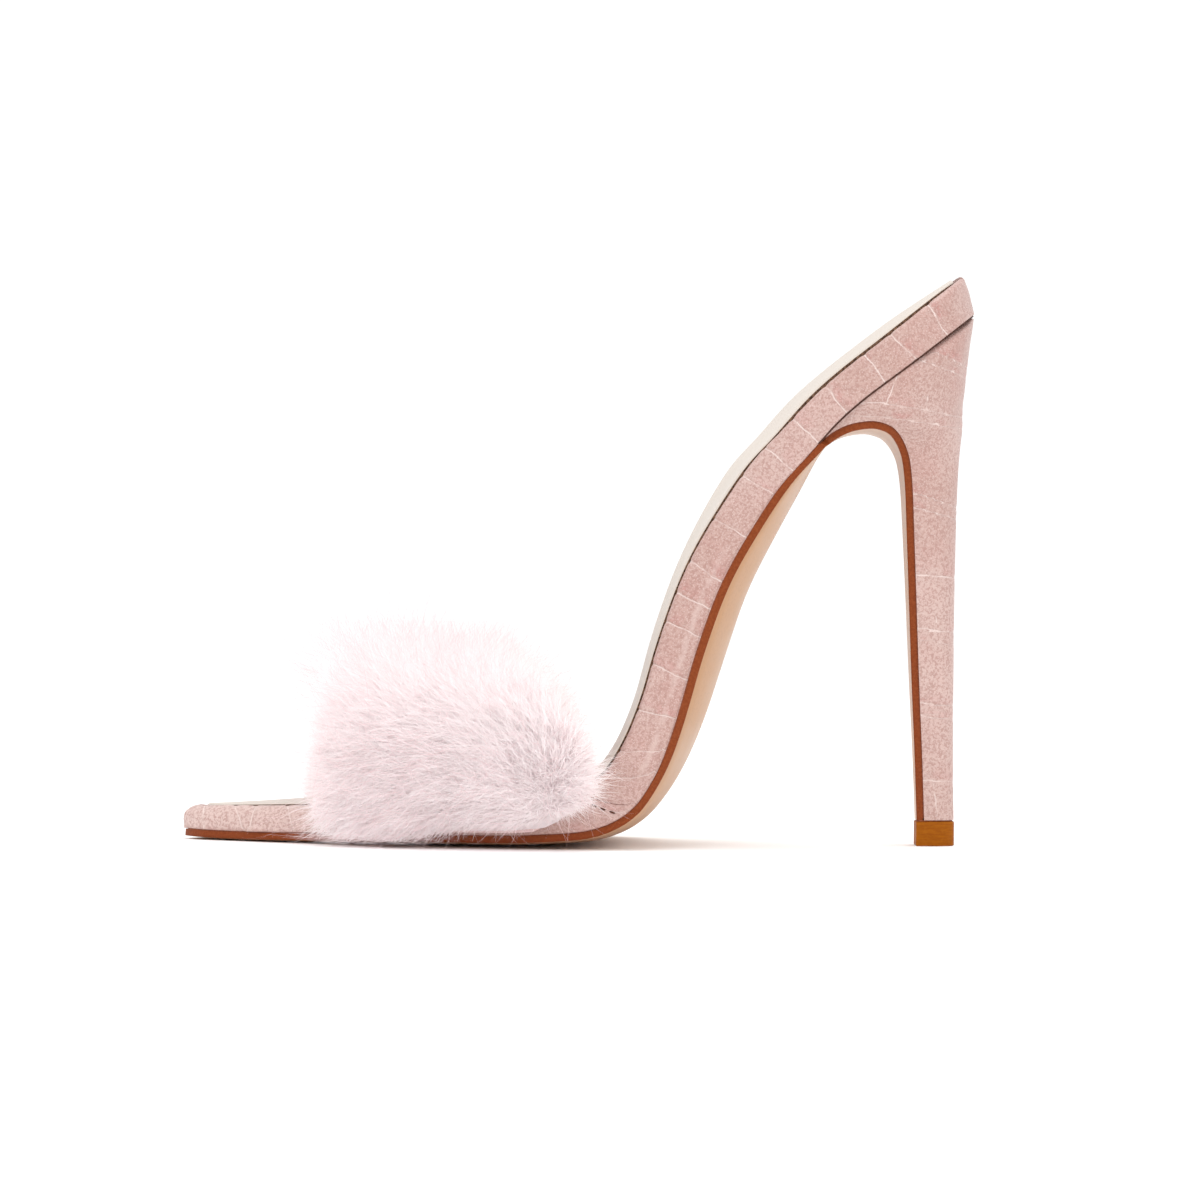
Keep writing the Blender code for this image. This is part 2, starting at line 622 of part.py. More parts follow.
def strap_point(u, v, outward):
    """A point of the strap: u from the outer foot to the inner one, v from the front edge to the rear one.

    outward is the distance from the strap's inner face. Past 0 and 1 the edges are carried on.
    """
    side = -1.0 if u < 0.5 else 1.0
    wall_share = 0.10
    rise = min(u, 1 - u) / wall_share
    base = STRAP_BASE_FRONT + (STRAP_BASE_REAR - STRAP_BASE_FRONT) * v
    base += STRAP_MEDIAL_SHIFT * (side > 0)
    base += max(0.0, 1 - rise) * (STRAP_FOOT_TAPER[0] * (1 - v) - STRAP_FOOT_TAPER[1] * v)
    one = np.array([base])
    wall = widest_edge(base, min(rise, 1.0), int(side > 0)) + STRAP_GAP + COVER_LAP + outward
    foot = float(bottom_height(one, side * wall)[0]) + STRAP_FOOT
    rim = float(top_height(one, side * wall)[0]) - RIM_RADIUS
    if rise < 1:
        return place(one, side * wall, [foot + (rim - foot) * rise])[0]
    start = place(one, side * wall, [rim])[0]
    turn = (min(u, 1 - u) - wall_share) / (0.5 - wall_share) * math.pi / 2
    crest_x = STRAP_CREST_FRONT[0] + (STRAP_CREST_REAR[0] - STRAP_CREST_FRONT[0]) * v
    crest_z = STRAP_CREST_FRONT[1] + (STRAP_CREST_REAR[1] - STRAP_CREST_FRONT[1]) * v
    crest = np.array([run_to_x(0) + crest_x, 0.0, SOLE_THICKNESS + crest_z + outward])
    up = math.sin(turn) ** 0.92
    out = math.cos(turn) ** 0.86
    x = start[0] + (crest[0] - start[0]) * up ** (1.3 + 0.7 * v)
    y = start[1] * out + side * STRAP_BULGE * math.sin(2 * turn) ** 2
    z = start[2] + (crest[2] - start[2]) * up
    return np.array([x, y, z])


def strap_grid(us, vs, outward):
    return np.array([[strap_point(u, v, outward) for u in us] for v in vs])


def grid_normals(grid):
    along_u = np.gradient(grid, axis=1)
    along_v = np.gradient(grid, axis=0)
    normals = np.cross(along_v, along_u)
    return normals / np.linalg.norm(normals, axis=2)[:, :, None]


def shell(name, inner, outer):
    """A closed mesh between two grids of points that share their border's shape."""
    work = bmesh.new()
    rows, columns = inner.shape[:2]
    low = [[work.verts.new(p) for p in row] for row in inner]
    high = [[work.verts.new(p) for p in row] for row in outer]
    for i in range(rows - 1):
        for j in range(columns - 1):
            work.faces.new((low[i][j], low[i][j + 1], low[i + 1][j + 1], low[i + 1][j]))
            work.faces.new((high[i][j], high[i + 1][j], high[i + 1][j + 1], high[i][j + 1]))
    border = [(0, j) for j in range(columns)] + [(i, columns - 1) for i in range(1, rows)]
    border += [(rows - 1, j) for j in range(columns - 2, -1, -1)] + [(i, 0) for i in range(rows - 2, 0, -1)]
    for (a, b), (c, d) in zip(border, border[1:] + border[:1]):
        work.faces.new((low[a][b], high[a][b], high[c][d], low[c][d]))
    bmesh.ops.recalc_face_normals(work, faces=work.faces)
    mesh = bpy.data.meshes.new(name)
    work.to_mesh(mesh)
    work.free()
    return mesh


def make_strap():
    us = np.concatenate([np.linspace(0, 0.10, 4)[:-1], np.linspace(0.10, 0.90, 25), np.linspace(0.90, 1, 4)[1:]])
    vs = np.linspace(0, 1, 7)
    inner = strap_grid(us, vs, 0.0)
    outer = inner + grid_normals(inner) * STRAP_THICKNESS
    shade(new_object("vamp_strap", shell("vamp_strap", inner, outer), COLOURS["lining"], 0.6))


def make_fur():
    """The fur's body over the strap, with a combed, pointed lock on every cell of its outer face."""
    us = np.linspace(0.015, 0.985, LOCKS_AROUND + 1)
    spread = FUR_OVERHANG / (STRAP_BASE_REAR - STRAP_BASE_FRONT)
    vs = np.linspace(-spread, 1 + spread, LOCKS_ALONG + 1)
    inner = strap_grid(us, vs, 0.0)
    normals = grid_normals(inner)
    inner = inner + normals * (STRAP_THICKNESS + GAP)
    crown = np.sqrt(1 - np.abs(np.linspace(-0.97, 0.97, len(vs))) ** 2.4)[:, None]
    low_ends = 0.55 + 0.45 * np.sin(np.pi * np.clip(us, 0, 1))[None, :] ** 0.5
    outer = inner + normals * (FUR_DEPTH * crown * low_ends)[:, :, None]
    outer[:, :, 2] = np.maximum(outer[:, :, 2], FUR_FLOOR_CLEARANCE)
    mesh = shell("vamp_fur", inner, outer)
    add_locks(mesh, outer, normals)
    shade(new_object("vamp_fur", mesh, COLOURS["fur"], 0.9), 60)


def outer_cells(work, outer):
    """The faces of the outer side, each with its row and column on the grid."""
    index = {tuple(np.round(p, 6)): (i, j) for i, row in enumerate(outer) for j, p in enumerate(row)}
    cells = []
    for face in work.faces:
        corners = [index.get(tuple(np.round(v.co, 6))) for v in face.verts]
        if None not in corners and len({c[0] for c in corners}) == 2 and len({c[1] for c in corners}) == 2:
            cells.append((face, min(c[0] for c in corners), min(c[1] for c in corners)))
    return cells


def add_locks(mesh, outer, normals):
    """Draws each outer cell out into a lock that narrows, leans over with the pile and ends in a point."""
    work = bmesh.new()
    work.from_mesh(mesh)
    rows, columns = outer.shape[:2]
    for face, i, j in outer_cells(work, outer):
        centre = outer[i : i + 2, j : j + 2].mean(axis=(0, 1))
        normal = normals[i : i + 2, j : j + 2].mean(axis=(0, 1))
        around = 2 * (j + 0.5) / (columns - 1) - 1
        along = (i + 0.5) / (rows - 1)
        low = around**2
        lean = np.array([(along - 0.62) * (1 - low) - 0.85 * low, 0.0, -0.30 * low])
        lean[1] += LOCK_SWAY * math.sin(3.1 * i + 1.7 * j)
        reach = LOCK_LENGTH * (0.82 + 0.18 * math.sin(2.3 * i + 4.1 * j))
        middle = lean * 0.6 + normal
        tip = lean * 1.2 + normal * 0.8
        shoulder = centre + middle / np.linalg.norm(middle) * reach * 0.45
        point = centre + (middle * 0.45 + tip * 0.55) / np.linalg.norm(middle + tip) * 2 * reach
        draw_lock(work, face, shoulder, point)
    work.to_mesh(mesh)
    work.free()


def draw_lock(work, face, shoulder, point):
    """Draws one cell out to its shoulder, narrowed there, and on to a point."""
    drawn = bmesh.ops.extrude_discrete_faces(work, faces=[face])["faces"][0]
    corners = list(drawn.verts)
    middle = np.mean([v.co[:] for v in corners], axis=0)
    for v in corners:
        v.co = above_floor(shoulder + (np.array(v.co[:]) - middle) * LOCK_SHOULDER)
    tip = bmesh.ops.poke(work, faces=[drawn])["verts"][0]
    tip.co = above_floor(point)


def above_floor(point):
    return (point[0], point[1], max(point[2], FUR_FLOOR_CLEARANCE))


clear_scene()
SHOE = bpy.data.collections.new("high_heel_mule")
CUTTERS = bpy.data.collections.new("cutters")
bpy.context.scene.collection.children.link(SHOE)
bpy.context.scene.collection.children.link(CUTTERS)
make_footbed()
make_outsole()
make_insole()
make_heel()
make_top_piece()
make_strap()
make_fur()
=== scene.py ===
"""Looks of the high heel mule: wrapped footbed and heel, sole, sock, strap and fur, on a lit white floor.

The shoe's sizes are the CAD part's own. Metres, +Z up, toe along -X, outer side towards -Y.
"""

import math
from collections import namedtuple

import bmesh
import bpy
import numpy as np
from mathutils import Matrix, Vector
from mathutils.bvhtree import BVHTree


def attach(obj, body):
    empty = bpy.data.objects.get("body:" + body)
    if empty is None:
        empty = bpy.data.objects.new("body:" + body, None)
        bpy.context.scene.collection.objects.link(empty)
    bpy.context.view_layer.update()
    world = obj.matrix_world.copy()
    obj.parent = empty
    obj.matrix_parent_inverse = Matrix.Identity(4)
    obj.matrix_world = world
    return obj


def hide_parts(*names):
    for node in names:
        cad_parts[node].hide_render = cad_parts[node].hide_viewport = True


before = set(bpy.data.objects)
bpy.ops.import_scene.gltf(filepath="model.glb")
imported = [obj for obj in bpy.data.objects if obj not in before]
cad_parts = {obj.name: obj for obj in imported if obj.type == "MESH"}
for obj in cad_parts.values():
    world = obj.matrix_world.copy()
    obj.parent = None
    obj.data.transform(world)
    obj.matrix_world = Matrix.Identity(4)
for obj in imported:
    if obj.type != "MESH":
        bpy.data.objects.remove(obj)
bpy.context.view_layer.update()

# Driving sizes of the last and the sole
SOLE_RUN = 0.1879  # toe tip to the rear end of the seat, measured along the floor
SEAT_RISE = 0.1248  # height of the seat's rear end above the sole's top face at the tread
BALL_WIDTH = 0.0770
TREAD_SHARE = 0.328  # where the tread spot's middle lies along the sole's run
TOE_TIP_RADIUS = 0.0060
SEAT_END_RADIUS = 0.0215
BELLY_DEPTH = 0.0067  # how far the middle of the waist hangs below its edges
ARCH_TILT = 0.0034  # how far the inner edge of the waist stands above the outer one
SEAT_RAKE = 0.42  # how far the seat's end face leans back, as a share of its height
SEAT_RAKE_RUN = 0.0300
EVENING = 0.0050  # reach over which the sole line's bends are evened out

# Footbed, sole and insole
SOLE_THICKNESS = 0.0015
SOLE_INSET = 0.0004
SOLE_TOE_INSET = 0.0006
SOLE_EDGE_BEVEL = 0.0004
FOOTBED_THICKNESS = 0.0089
FOOTBED_DISH = 0.0015
RIM_RADIUS = 0.0015
TUCK_RADIUS = 0.0005  # the wrap's turn under the bottom edge
COVER_LAP = 0.0005  # the fore cover laps over the rear cover by its own thickness
LAP_SHARE = 0.402  # where the lap crosses the middle of the wall, along the sole line
LAP_SLANT = 0.0164  # how far the lap runs back from the rim to the sole
INSOLE_THICKNESS = 0.0010
INSOLE_PILLOW = 0.0006
INSOLE_SKIVE = 0.35  # share of its thickness left at the toe
INSOLE_SKIVE_RUN = 0.0400
INSOLE_MARGIN = 0.0012  # rim left bare beyond the rim's round
GAP = 0.0003  # between bonded pieces

# Heel
SEAT_WIDTH = 0.0490
HEEL_TIP_WIDTH = 0.0092
TOP_PIECE_HEIGHT = 0.0059
TOP_PIECE_FLARE = 0.0001
BREAST_ROUND = 2.3  # exponent of the heel's plan: 2 is an ellipse

# Vamp strap and its fur
STRAP_THICKNESS = 0.0018
STRAP_GAP = 0.0006  # between the strap's feet and the footbed's wall
STRAP_CREST_FRONT = (0.0400, 0.0330)  # run from the toe tip, height above the sole's top face
STRAP_CREST_REAR = (0.0740, 0.0370)
STRAP_BASE_FRONT = 0.0400  # lateral base, along the sole line from the toe tip
STRAP_BASE_REAR = 0.0960
STRAP_MEDIAL_SHIFT = -0.0050  # the inner ends sit nearer to the toe
STRAP_FOOT_TAPER = (0.0070, 0.0110)  # how far the feet's front and rear corners draw in
STRAP_FOOT = 0.0010  # lowest line of the strap above the sole's top face
STRAP_BULGE = 0.0020
FUR_OVERHANG = 0.0050  # fur standing past the strap's front and rear edges

Section = namedtuple("Section", "along rise lateral medial belly flat tilt lean thick dish roll")

# Shares: along of SOLE_RUN, rise of SEAT_RISE, lateral and medial of half BALL_WIDTH, belly of BELLY_DEPTH,
# flat of the half width, tilt (bottom) and lean (top) of ARCH_TILT, thick of FOOTBED_THICKNESS,
# dish of FOOTBED_DISH, roll of RIM_RADIUS.
SECTIONS = [
    Section(0.0000, 0.0060, 0.03, 0.19, 0.036, 0.30, 0.00, 0.00, 0.58, 0.2, 2.80),
    Section(0.0510, 0.0015, 0.17, 0.33, 0.063, 0.35, 0.00, 0.00, 0.66, 0.4, 2.60),
    Section(0.1310, 0.0000, 0.40, 0.53, 0.107, 0.35, 0.00, 0.00, 0.70, 0.6, 2.20),
    Section(0.2370, 0.0000, 0.65, 0.73, 0.161, 0.35, 0.00, 0.00, 0.73, 0.8, 1.70),
    Section(0.3280, 0.0000, 0.82, 0.87, 0.197, 0.35, 0.00, 0.00, 0.75, 0.8, 1.35),
    Section(0.4130, 0.0000, 0.95, 0.95, 0.209, 0.35, 0.00, 0.00, 0.80, 0.8, 1.20),
    Section(0.4770, 0.0040, 1.01, 0.94, 0.224, 0.30, 0.00, 0.00, 0.85, 0.9, 1.00),
    Section(0.5276, 0.0090, 1.00, 0.84, 0.388, 0.20, 0.05, 0.00, 0.94, 1.0, 1.00),
    Section(0.5754, 0.0351, 0.93, 0.72, 0.537, 0.10, 0.10, 0.00, 1.02, 1.0, 1.00),
    Section(0.6205, 0.1073, 0.81, 0.61, 0.687, 0.00, 0.25, 0.05, 1.02, 1.0, 1.00),
    Section(0.6563, 0.2107, 0.68, 0.53, 0.866, 0.00, 0.45, 0.12, 1.00, 1.0, 1.00),
    Section(0.6883, 0.3528, 0.61, 0.49, 1.000, 0.00, 0.55, 0.25, 0.98, 1.0, 1.00),
    Section(0.7133, 0.4658, 0.58, 0.49, 0.940, 0.00, 0.55, 0.36, 0.97, 1.0, 1.00),
    Section(0.7522, 0.5899, 0.59, 0.53, 0.761, 0.00, 0.40, 0.68, 0.96, 1.0, 1.00),
    Section(0.7823, 0.6805, 0.60, 0.57, 0.508, 0.00, 0.15, 0.80, 0.95, 0.9, 1.00),
    Section(0.8070, 0.7560, 0.62, 0.60, 0.000, 0.00, 0.00, 0.80, 0.93, 0.8, 1.00),
    Section(0.8500, 0.8230, 0.63, 0.63, 0.000, 0.00, 0.00, 0.70, 0.92, 0.7, 1.00),
    Section(0.9130, 0.8960, 0.64, 0.64, 0.000, 0.00, 0.00, 0.70, 0.95, 0.7, 1.00),
    Section(1.0060, 1.0068, 0.64, 0.64, 0.000, 0.00, 0.00, 0.15, 0.99, 0.7, 1.00),
]
MOUTH = 0.807  # where the sole leaves the footbed and turns down the heel's breast

Arch = namedtuple("Arch", "along rise")

# The sole's turn from the waist over the arch and down the breast, in shares of SOLE_RUN and SEAT_RISE.
ARCH_LINE = [
    Arch(0.829, 0.779),
    Arch(0.850, 0.791),
    Arch(0.872, 0.795),
    Arch(0.895, 0.786),
    Arch(0.911, 0.760),
    Arch(0.920, 0.725),
    Arch(0.9245, 0.669),
    Arch(0.927, 0.597),
    Arch(0.930, 0.505),
    Arch(0.936, 0.309),
    Arch(0.9415, 0.148),
]
BREAST_FOOT = 0.9445  # the breast's lower end, as a share of SOLE_RUN

Stem = namedtuple("Stem", "rise front back half wing")

# The heel's level sections: rise of SEAT_RISE, front and back of SOLE_RUN, half and wing of half
# SEAT_WIDTH. half is where the sides start to round, at front, and wing is further forward, under the seat.
STEM = [
    Stem(0.045, 0.9445, 0.9852, 0.188, 0.188),
    Stem(0.110, 0.9430, 0.9842, 0.200, 0.200),
    Stem(0.260, 0.9385, 0.9834, 0.232, 0.232),
    Stem(0.405, 0.9335, 0.9834, 0.282, 0.282),
    Stem(0.537, 0.9295, 0.9842, 0.340, 0.340),
    Stem(0.621, 0.9270, 0.9852, 0.390, 0.390),
    Stem(0.697, 0.9240, 0.9867, 0.460, 0.500),
    Stem(0.735, 0.9190, 0.9882, 0.530, 0.780),
    Stem(0.765, 0.9110, 0.9900, 0.640, 0.950),
    Stem(0.790, 0.8980, 0.9917, 0.790, 0.965),
    Stem(0.825, 0.8700, 0.9915, 0.950, 0.975),
    Stem(0.860, 0.8850, 0.9938, 0.985, 0.985),
    Stem(0.896, 0.9130, 0.9960, 0.990, 0.990),
    Stem(0.926, 0.9400, 0.9980, 0.930, 0.930),
    Stem(0.952, 0.9610, 1.0000, 0.820, 0.820),
    Stem(0.976, 0.9820, 1.0025, 0.600, 0.600),
    Stem(1.000, 1.0000, 1.0050, 0.180, 0.180),
]
WING_START = 0.790  # the foremost end of the uncut heel block, as a share of SOLE_RUN


def monotone_slopes(t, values):
    """Slopes of a curve through the values that never overshoots them."""
    step = np.diff(t)
    rate = np.diff(values, axis=0) / step[:, None]
    before, after = step[:-1, None], step[1:, None]
    weight_a, weight_b = 2 * after + before, after + 2 * before
    with np.errstate(divide="ignore", invalid="ignore"):
        middle = (weight_a + weight_b) / (weight_a / rate[:-1] + weight_b / rate[1:])
    middle[rate[:-1] * rate[1:] <= 0] = 0.0
    return np.vstack([rate[:1], middle, rate[-1:]])


def sample_curve(t, values, at):
    """The cubic curve through values at t, read at each of at."""
    slopes = monotone_slopes(t, values)
    k = np.clip(np.searchsorted(t, at, side="right") - 1, 0, len(t) - 2)
    width = (t[k + 1] - t[k])[:, None]
    q = ((at - t[k]) / (t[k + 1] - t[k]))[:, None]
    return (
        values[k] * (1 + 2 * q) * (1 - q) ** 2
        + slopes[k] * width * q * (1 - q) ** 2
        + values[k + 1] * q**2 * (3 - 2 * q)
        + slopes[k + 1] * width * q**2 * (q - 1)
    )


def ramped(value, start, run):
    """Rises from 0 to 1 over a run from the start on."""
    return np.clip((value - start) / run, 0, 1)


def run_to_x(share):
    """X of a share of the sole's run. The tread spot's middle is at 0."""
    return (share - TREAD_SHARE) * SOLE_RUN


def rise_to_z(share):
    return SOLE_THICKNESS + share * SEAT_RISE


def evened(rows, reach):
    """Each row averaged with its neighbours on both sides. The first and the last row stay."""
    before, after = 2 * rows[0] - rows[reach:0:-1], 2 * rows[-1] - rows[-2 : -reach - 2 : -1]
    total = np.cumsum(np.vstack([rows[:1] * 0, before, rows, after]), axis=0)
    return (total[2 * reach + 1 :] - total[: -2 * reach - 1]) / (2 * reach + 1)


class Line:
    """A smooth side-view line with further columns, read by its length from the start."""

    SAMPLES = 1200

    def __init__(self, points, columns, evening):
        points = np.array(points, float)
        knots = np.concatenate([[0], np.cumsum(np.linalg.norm(np.diff(points, axis=0), axis=1))])
        rows = np.hstack([points, np.array(columns, float)])
        fine = sample_curve(knots, rows, np.linspace(0, knots[-1], self.SAMPLES))
        fine = evened(fine, round(evening / knots[-1] * self.SAMPLES))
        lengths = np.linalg.norm(np.diff(fine[:, :2], axis=0), axis=1)
        self.rows = fine
        self.along = np.concatenate([[0], np.cumsum(lengths)])
        self.length = self.along[-1]

    def read(self, s):
        """All columns at each length s, carried straight on past both ends."""
        s = np.atleast_1d(np.asarray(s, float))
        inside = np.clip(s, 0, self.length)
        read = np.stack([np.interp(inside, self.along, column) for column in self.rows.T], axis=1)
        read[:, :2] += self.tangent(s) * (s - inside)[:, None]
        return read

    def tangent(self, s, reach=0.0025):
        s = np.clip(np.atleast_1d(np.asarray(s, float)), 0, self.length)
        ends = [np.clip(s + side, 0, self.length) for side in (-reach, reach)]
        low, high = (np.stack([np.interp(e, self.along, c) for c in self.rows.T[:2]], axis=1) for e in ends)
        across = high - low
        return across / np.linalg.norm(across, axis=1)[:, None]

    def normal(self, s):
        tangent = self.tangent(s)
        return np.stack([-tangent[:, 1], tangent[:, 0]], axis=1)


def sole_line():
    """The sole's top face along its middle, from the toe tip to the rear end of the seat."""
    points = [(run_to_x(row.along), rise_to_z(row.rise)) for row in SECTIONS]
    return Line(points, [row[2:] for row in SECTIONS], EVENING)


SOLE_LINE = sole_line()


def length_at_run(share):
    """How far along the sole line a share of the run lies."""
    return float(np.interp(run_to_x(share), SOLE_LINE.rows[:, 0], SOLE_LINE.along))


def section_at(s):
    """The section's values at each length s. Its along and rise are x and z here."""
    return Section(*SOLE_LINE.read(s).T)


def edges(s):
    """Y of the footbed's outer and inner edge at each length s, rounded off at both ends."""
    row = section_at(s)
    lateral, medial = row.lateral * BALL_WIDTH / 2, row.medial * BALL_WIDTH / 2
    middle, half = (medial - lateral) / 2, (medial + lateral) / 2
    toe = np.clip(np.asarray(s) / TOE_TIP_RADIUS, 0, 1)
    seat = np.clip((SOLE_LINE.length - np.asarray(s)) / SEAT_END_RADIUS, 0, 1)
    half = half * np.sqrt(1 - (1 - toe) ** 2) * np.sqrt(1 - (1 - seat) ** 2)
    return middle - half, middle + half


def share_across(s, y):
    """Where y lies across the footbed at each length s: -1 at the outer edge, 1 at the inner one."""
    left, right = edges(s)
    middle, half = (left + right) / 2, np.maximum((right - left) / 2, 1e-6)
    return np.clip((y - middle) / half, -1, 1)


def bottom_height(s, y):
    """Height of the sole's top face off the sole line, at each length s and sideways place y."""
    row, v = section_at(s), share_across(s, y)
    curve = (np.maximum(np.abs(v) - row.flat, 0) / (1 - row.flat)) ** 2
    return row.belly * BELLY_DEPTH * curve + row.tilt * ARCH_TILT * (v + 1) / 2


def top_height(s, y):
    """Height of the footbed's top face off the sole line, before the rim's round."""
    row, v = section_at(s), share_across(s, y)
    edge = GAP + row.thick * FOOTBED_THICKNESS + row.belly * BELLY_DEPTH
    return edge - row.dish * FOOTBED_DISH * (1 - v**2) + row.lean * ARCH_TILT * (v + 1) / 2


def edge_slant(s, reach=0.0003):
    """How much narrower the true distance to the edge is than the sideways one, for each edge."""
    low, high = edges(np.maximum(s - reach, 0)), edges(np.minimum(s + reach, SOLE_LINE.length))
    return [1 / np.sqrt(1 + ((b - a) / (2 * reach)) ** 2) for a, b in zip(low, high)]


def edges_at(s):
    """The outer and the inner edge at one length, and the slants of both."""
    one = np.array([s])
    left, right = (float(edge[0]) for edge in edges(one))
    return left, right, [float(slant[0]) for slant in edge_slant(one)]


def wall_heights(s, y):
    """The lowest and the highest line of the footbed's wall at one length."""
    return float(bottom_height([s], y)[0]) + GAP, float(top_height([s], y)[0])


def place(s, y, height):
    """Points at length s, sideways place y and height off the sole line. The seat's end leans back."""
    height = np.asarray(height)
    raked = np.clip((s - SOLE_LINE.length) / SEAT_RAKE_RUN + 1, 0, 1) ** 2
    s = s + raked * SEAT_RAKE * height
    at = SOLE_LINE.read(s)[:, :2] + SOLE_LINE.normal(s) * height[:, None]
    return np.stack([at[:, 0], np.asarray(y) * np.ones(len(at)), at[:, 1]], axis=1)


def lap_length():
    return LAP_SHARE * SOLE_LINE.length


def lap_shift(s, share_up):
    """How far a wall point near the lap moves along the line, so that the lap runs slanted."""
    near = np.clip(1 - np.abs(s - lap_length()) / (2.2 * LAP_SLANT), 0, 1)
    return LAP_SLANT * (0.5 - share_up) * near


# Creases of the embossed cover, in mm along the sole line: at the wall's top and at its bottom.
CREASES = [
    (-6.0, -6.0),
    (5.0, 5.5),
    (13.0, 15.7),
    (18.2, 16.4),
    (26.0, 28.0),
    (37.0, 37.5),
    (47.5, 47.0),
    (58.0, 58.5),
    (69.0, 68.5),
    (79.0, 79.5),
    (90.0, 89.5),
    (100.5, 101.0),
    (115.5, 116.5),
    (124.5, 124.3),
    (135.5, 135.0),
    (147.0, 146.0),
    (157.5, 156.5),
    (164.5, 163.5),
    (171.5, 170.0),
    (182.0, 181.5),
    (194.0, 193.5),
    (202.5, 200.5),
    (210.0, 209.0),
    (219.0, 218.5),
    (230.0, 230.0),
    (237.5, 239.0),
    (248.0, 248.5),
    (260.0, 260.0),
]
CREASE_TOP = np.array([c[0] for c in CREASES]) / 1000
CREASE_LOW = np.array([c[1] for c in CREASES]) / 1000
CREASE_MID = (CREASE_TOP + CREASE_LOW) / 2
CREASE_DEPTH = 0.00016
CREASE_REACH = 0.00045
NO_SPLIT = 50.0  # stands for a place with no upright crease near, in mm
LAP_STEP = 0.00005  # the lap's edge lies between two sections this far before and after its length
# the painted shadow line along the lap: its radius and how far it stands off the wall
LAP_LINE_RADIUS = 0.00011
LAP_LINE_LIFT = 0.00004


def crease_shift(s, share_up):
    """How far a wall point moves along the line so that the creases lie as charted."""
    index = np.interp(s, CREASE_MID, np.arange(len(CREASES)))
    slant = np.interp(s, CREASE_MID, CREASE_TOP - CREASE_LOW)
    wobble = 0.00018 * np.sin(5.1 * share_up + 2.3 * index) * np.sin(np.pi * np.clip(share_up, 0, 1))
    return slant * (share_up - 0.5) + wobble


def crease_trough(s):
    """Depth of the soft trough at length s."""
    nearest = np.min(np.abs(CREASE_MID - s))
    swell = 0.35 * CREASE_DEPTH * math.exp(-(((nearest - 0.0016) / 0.0009) ** 2))
    return CREASE_DEPTH * math.exp(-((nearest / CREASE_REACH) ** 2)) - swell


def dense_stations(step=0.0021, toe_steps=18, seat_steps=22):
    """Lengths of the cover's sections: close at the round ends, at each crease and beside the lap."""
    toe = [TOE_TIP_RADIUS * (1 - math.cos(math.radians(a))) for a in np.linspace(3, 90, toe_steps)]
    seat = [
        SOLE_LINE.length - SEAT_END_RADIUS * (1 - math.cos(math.radians(a)))
        for a in np.linspace(90, 3, seat_steps)
    ]
    middle = np.linspace(toe[-1], seat[0], round((seat[0] - toe[-1]) / step) + 1)[1:-1]
    inner = CREASE_MID[(CREASE_MID > 0.007) & (CREASE_MID < SOLE_LINE.length - 0.004)]
    near = np.concatenate([inner + d for d in (-0.0011, -0.0006, -0.0003, 0.0, 0.0003, 0.0006, 0.0011)])
    plain = np.array([*toe, *middle, *seat])
    plain = plain[[np.min(np.abs(inner - s)) > 0.0014 for s in plain]]
    lengths = np.concatenate([plain, near])
    lengths = lengths[np.abs(lengths - lap_length()) > 0.0007]
    at_lap = lap_length() + np.array([-0.0006, -LAP_STEP, LAP_STEP, 0.0006])
    return np.sort(np.concatenate([lengths, at_lap]))


def tube(name, rings):
    """A mesh through rings of equally many points, with a face over each end."""
    rings = np.asarray(rings, float)
    count, size = rings.shape[:2]
    index = np.arange(count * size).reshape(count, size)
    turned = np.roll(index, -1, axis=1)
    quads = np.stack([index[:-1], turned[:-1], turned[1:], index[1:]], axis=-1).reshape(-1, 4)
    faces = [*quads.tolist(), index[0][::-1].tolist(), index[-1].tolist()]
    mesh = bpy.data.meshes.new(name)
    mesh.from_pydata(rings.reshape(-1, 3).tolist(), [], faces)
    face_outward(mesh)
    return mesh


def unit(vectors):
    return vectors / np.maximum(np.linalg.norm(vectors, axis=-1, keepdims=True), 1e-9)


def circle(middle, radius, across, out, points):
    """Points round a middle, in the plane of two directions."""
    turn = np.linspace(0, 2 * math.pi, points + 1)[:-1, None]
    return middle + radius * (across * np.cos(turn) + out * np.sin(turn))


def face_outward(mesh):
    work = bmesh.new()
    work.from_mesh(mesh)
    bmesh.ops.recalc_face_normals(work, faces=work.faces)
    work.to_mesh(mesh)
    work.free()


def set_uv(mesh, name, per_vertex):
    layer = mesh.uv_layers.new(name=name)
    loops = np.zeros(len(mesh.loops), np.int32)
    mesh.loops.foreach_get("vertex_index", loops)
    layer.data.foreach_set("uv", np.asarray(per_vertex, np.float32)[loops].ravel())


def joined(name, meshes):
    """One mesh made of several."""
    work = bmesh.new()
    for mesh in meshes:
        work.from_mesh(mesh)
        bpy.data.meshes.remove(mesh)
    made = bpy.data.meshes.new(name)
    work.to_mesh(made)
    work.free()
    return made


def put_in_scene(name, data):
    item = bpy.data.objects.new(name, data)
    bpy.context.scene.collection.objects.link(item)
    return item


def add_piece(name, mesh, materials, replaced=(), smooth=True, sharp=40):
    """A piece of the shoe. sharp is the angle over which an edge isn't shaded smooth."""
    for material in materials:
        mesh.materials.append(material)
    if smooth:
        mesh.shade_smooth()
        mesh.set_sharp_from_angle(angle=math.radians(sharp))
    item = put_in_scene(name, mesh)
    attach(item, "root")
    if replaced:
        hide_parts(*replaced)
    return item


# Materials

COVER_TONE = (0.460, 0.298, 0.260)
COVER_RED = (0.445, 0.224, 0.200)
COVER_DEEP = (0.322, 0.168, 0.142)
# paler tone of the mottle and grain, also the painted highlight near the toe
COVER_PALE = (0.600, 0.455, 0.418)
# colour of the creases: a painted highlight
COVER_CREASE_HIGHLIGHT = (0.730, 0.600, 0.560)


